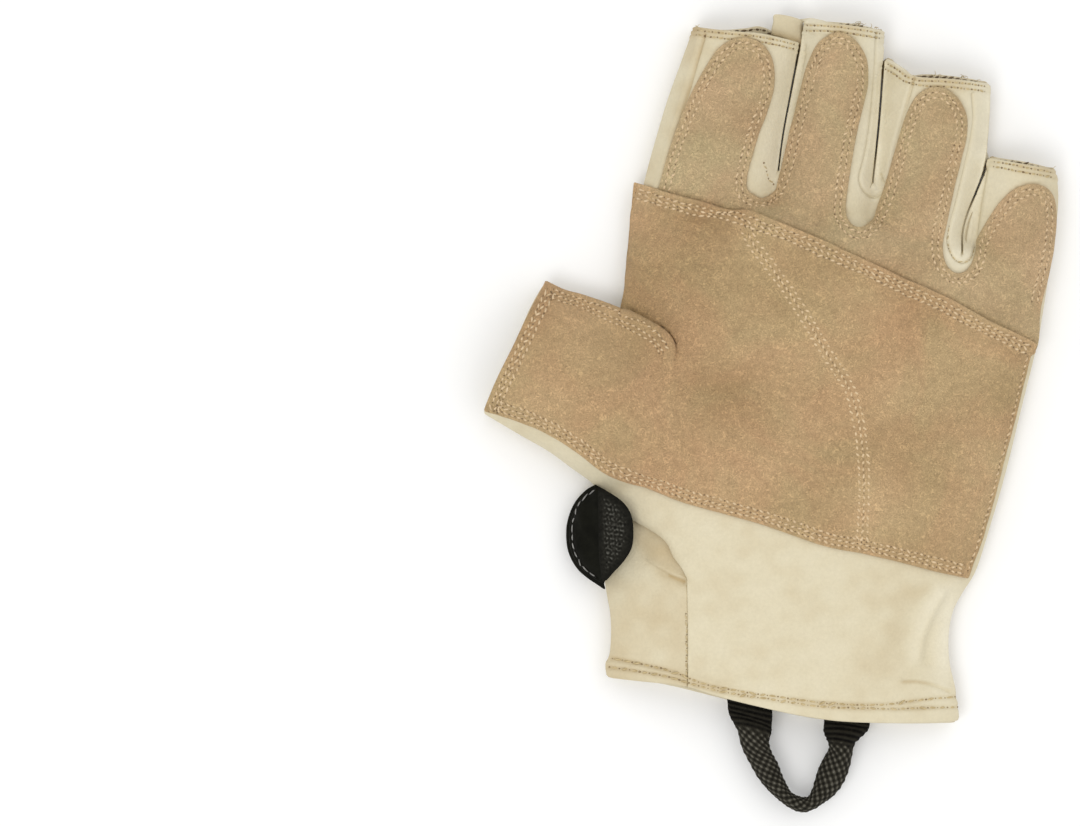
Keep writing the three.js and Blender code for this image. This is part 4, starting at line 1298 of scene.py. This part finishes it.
def webbing():
    """A flat band at the hem that curls over into a narrow fold along the loop."""
    outer = plan([row[0] for row in LOOP])
    inner = plan([row[1] for row in LOOP])
    middle = np.array([row[2] for row in LOOP])
    fold = CURL * np.sqrt(np.maximum(BAND ** 2 - ((outer - inner) ** 2).sum(1), 0))
    base = np.maximum(middle - fold / 2, BAND_LOW)
    rails = through(np.c_[outer, inner, base, fold])
    a, b = rails[:, 0:2], rails[:, 2:4]
    v = np.linspace(-1, 1, BAND_COUNT + 1)
    sideways = np.sin(v * CURL_TURN) / math.sin(CURL_TURN)
    upward = (np.cos(v * CURL_TURN) - math.cos(CURL_TURN)) / (1 - math.cos(CURL_TURN))
    flat = (a + b)[:, None] / 2 + (b - a)[:, None] / 2 * sideways[None, :, None]
    high = rails[:, 4:5] + rails[:, 5:6] * upward[None]
    band = np.concatenate([flat, high[..., None]], axis=2)
    s = lengths((a + b) / 2)
    ends = np.minimum(s, s[-1] - s)
    tacked = step_up((TACKED - ends) / 2.5)[:, None]
    grid_s, grid_v = np.meshgrid(s, v, indexing="ij")
    lattice = np.cos(grid_s * math.tau / WEAVE_PITCH + grid_v * 3) * np.cos(grid_v * math.tau * 3)
    lines = np.cos(grid_s * math.tau / TACK_PITCH)
    weave = lattice * (1 - tacked) + lines * tacked
    out = np.cross(np.gradient(band, axis=1), np.gradient(band, axis=0))
    out /= np.linalg.norm(out, axis=2)[..., None]
    out *= np.sign(out[:, BAND_COUNT // 2, 2])[:, None, None]
    thick = BAND_HALF * (1 - v ** 6 * 0.8)[None] + WEAVE_HIGH * weave * (1 - v ** 8)[None]
    points = [(band + sign * out * thick[..., None]).reshape(-1, 3) for sign in (1, -1)]
    tone = np.tile((0.9 * weave * (1 - 0.55 * tacked) - 0.6 * tacked).ravel(), 2)
    new_object("webbing_loop_sewn", np.vstack(points), band_faces(len(band)), WEBBING,
               ("webbing_loop",), tone)


webbing()


# Room, light and camera

FLOOR = 3.0
FLOOR_Z = -0.0003
DISTANCE = 1.62     # from the camera to the floor, in metres
FRAME_WIDTH = 1080  # pixels
FRAME_MIDDLE = (540, 413)
SENSOR = 36

floor_mesh = bpy.data.meshes.new("floor")
corners = [(x * FLOOR, y * FLOOR, 0) for x, y in ((-1, -1), (1, -1), (1, 1), (-1, 1))]
floor_mesh.from_pydata(corners, [], [(0, 1, 2, 3)])
floor = placed("floor", floor_mesh)
floor.location.z = FLOOR_Z
floor_mesh.materials.append(material("floor", (0.95, 0.95, 0.945), 0.9, Specular_IOR_Level=0.1))


def area_light(name, place, size, power, color=(1, 1, 1)):
    """A square light that looks at the middle of the model."""
    light = bpy.data.lights.new(name, "AREA")
    light.size = size
    light.energy = power
    light.color = color
    lamp = placed(name, light)
    lamp.location = place
    lamp.rotation_euler = (-lamp.location).to_track_quat("-Z", "Y").to_euler()


area_light("key", (-0.5, -0.55, 1.6), 0.8, 7.5, (1, 0.995, 0.98))
area_light("fill", (0.6, 0.5, 1.7), 1.6, 6)
world = bpy.data.worlds.new("studio")
world.use_nodes = True
background = world.node_tree.nodes["Background"]
background.inputs["Color"].default_value = (1, 1, 1, 1)
background.inputs["Strength"].default_value = 0.81
bpy.context.scene.world = world
bpy.context.scene.view_settings.view_transform = "Standard"

centre = plan([FRAME_MIDDLE])[0] * MM
lens = bpy.data.cameras.new("camera")
lens.sensor_width = SENSOR
lens.lens = SENSOR * DISTANCE / (FRAME_WIDTH * PIXEL * MM)
lens.clip_end = 20
camera = placed("camera", lens)
camera.location = (centre[0], centre[1], DISTANCE)
bpy.context.scene.camera = camera
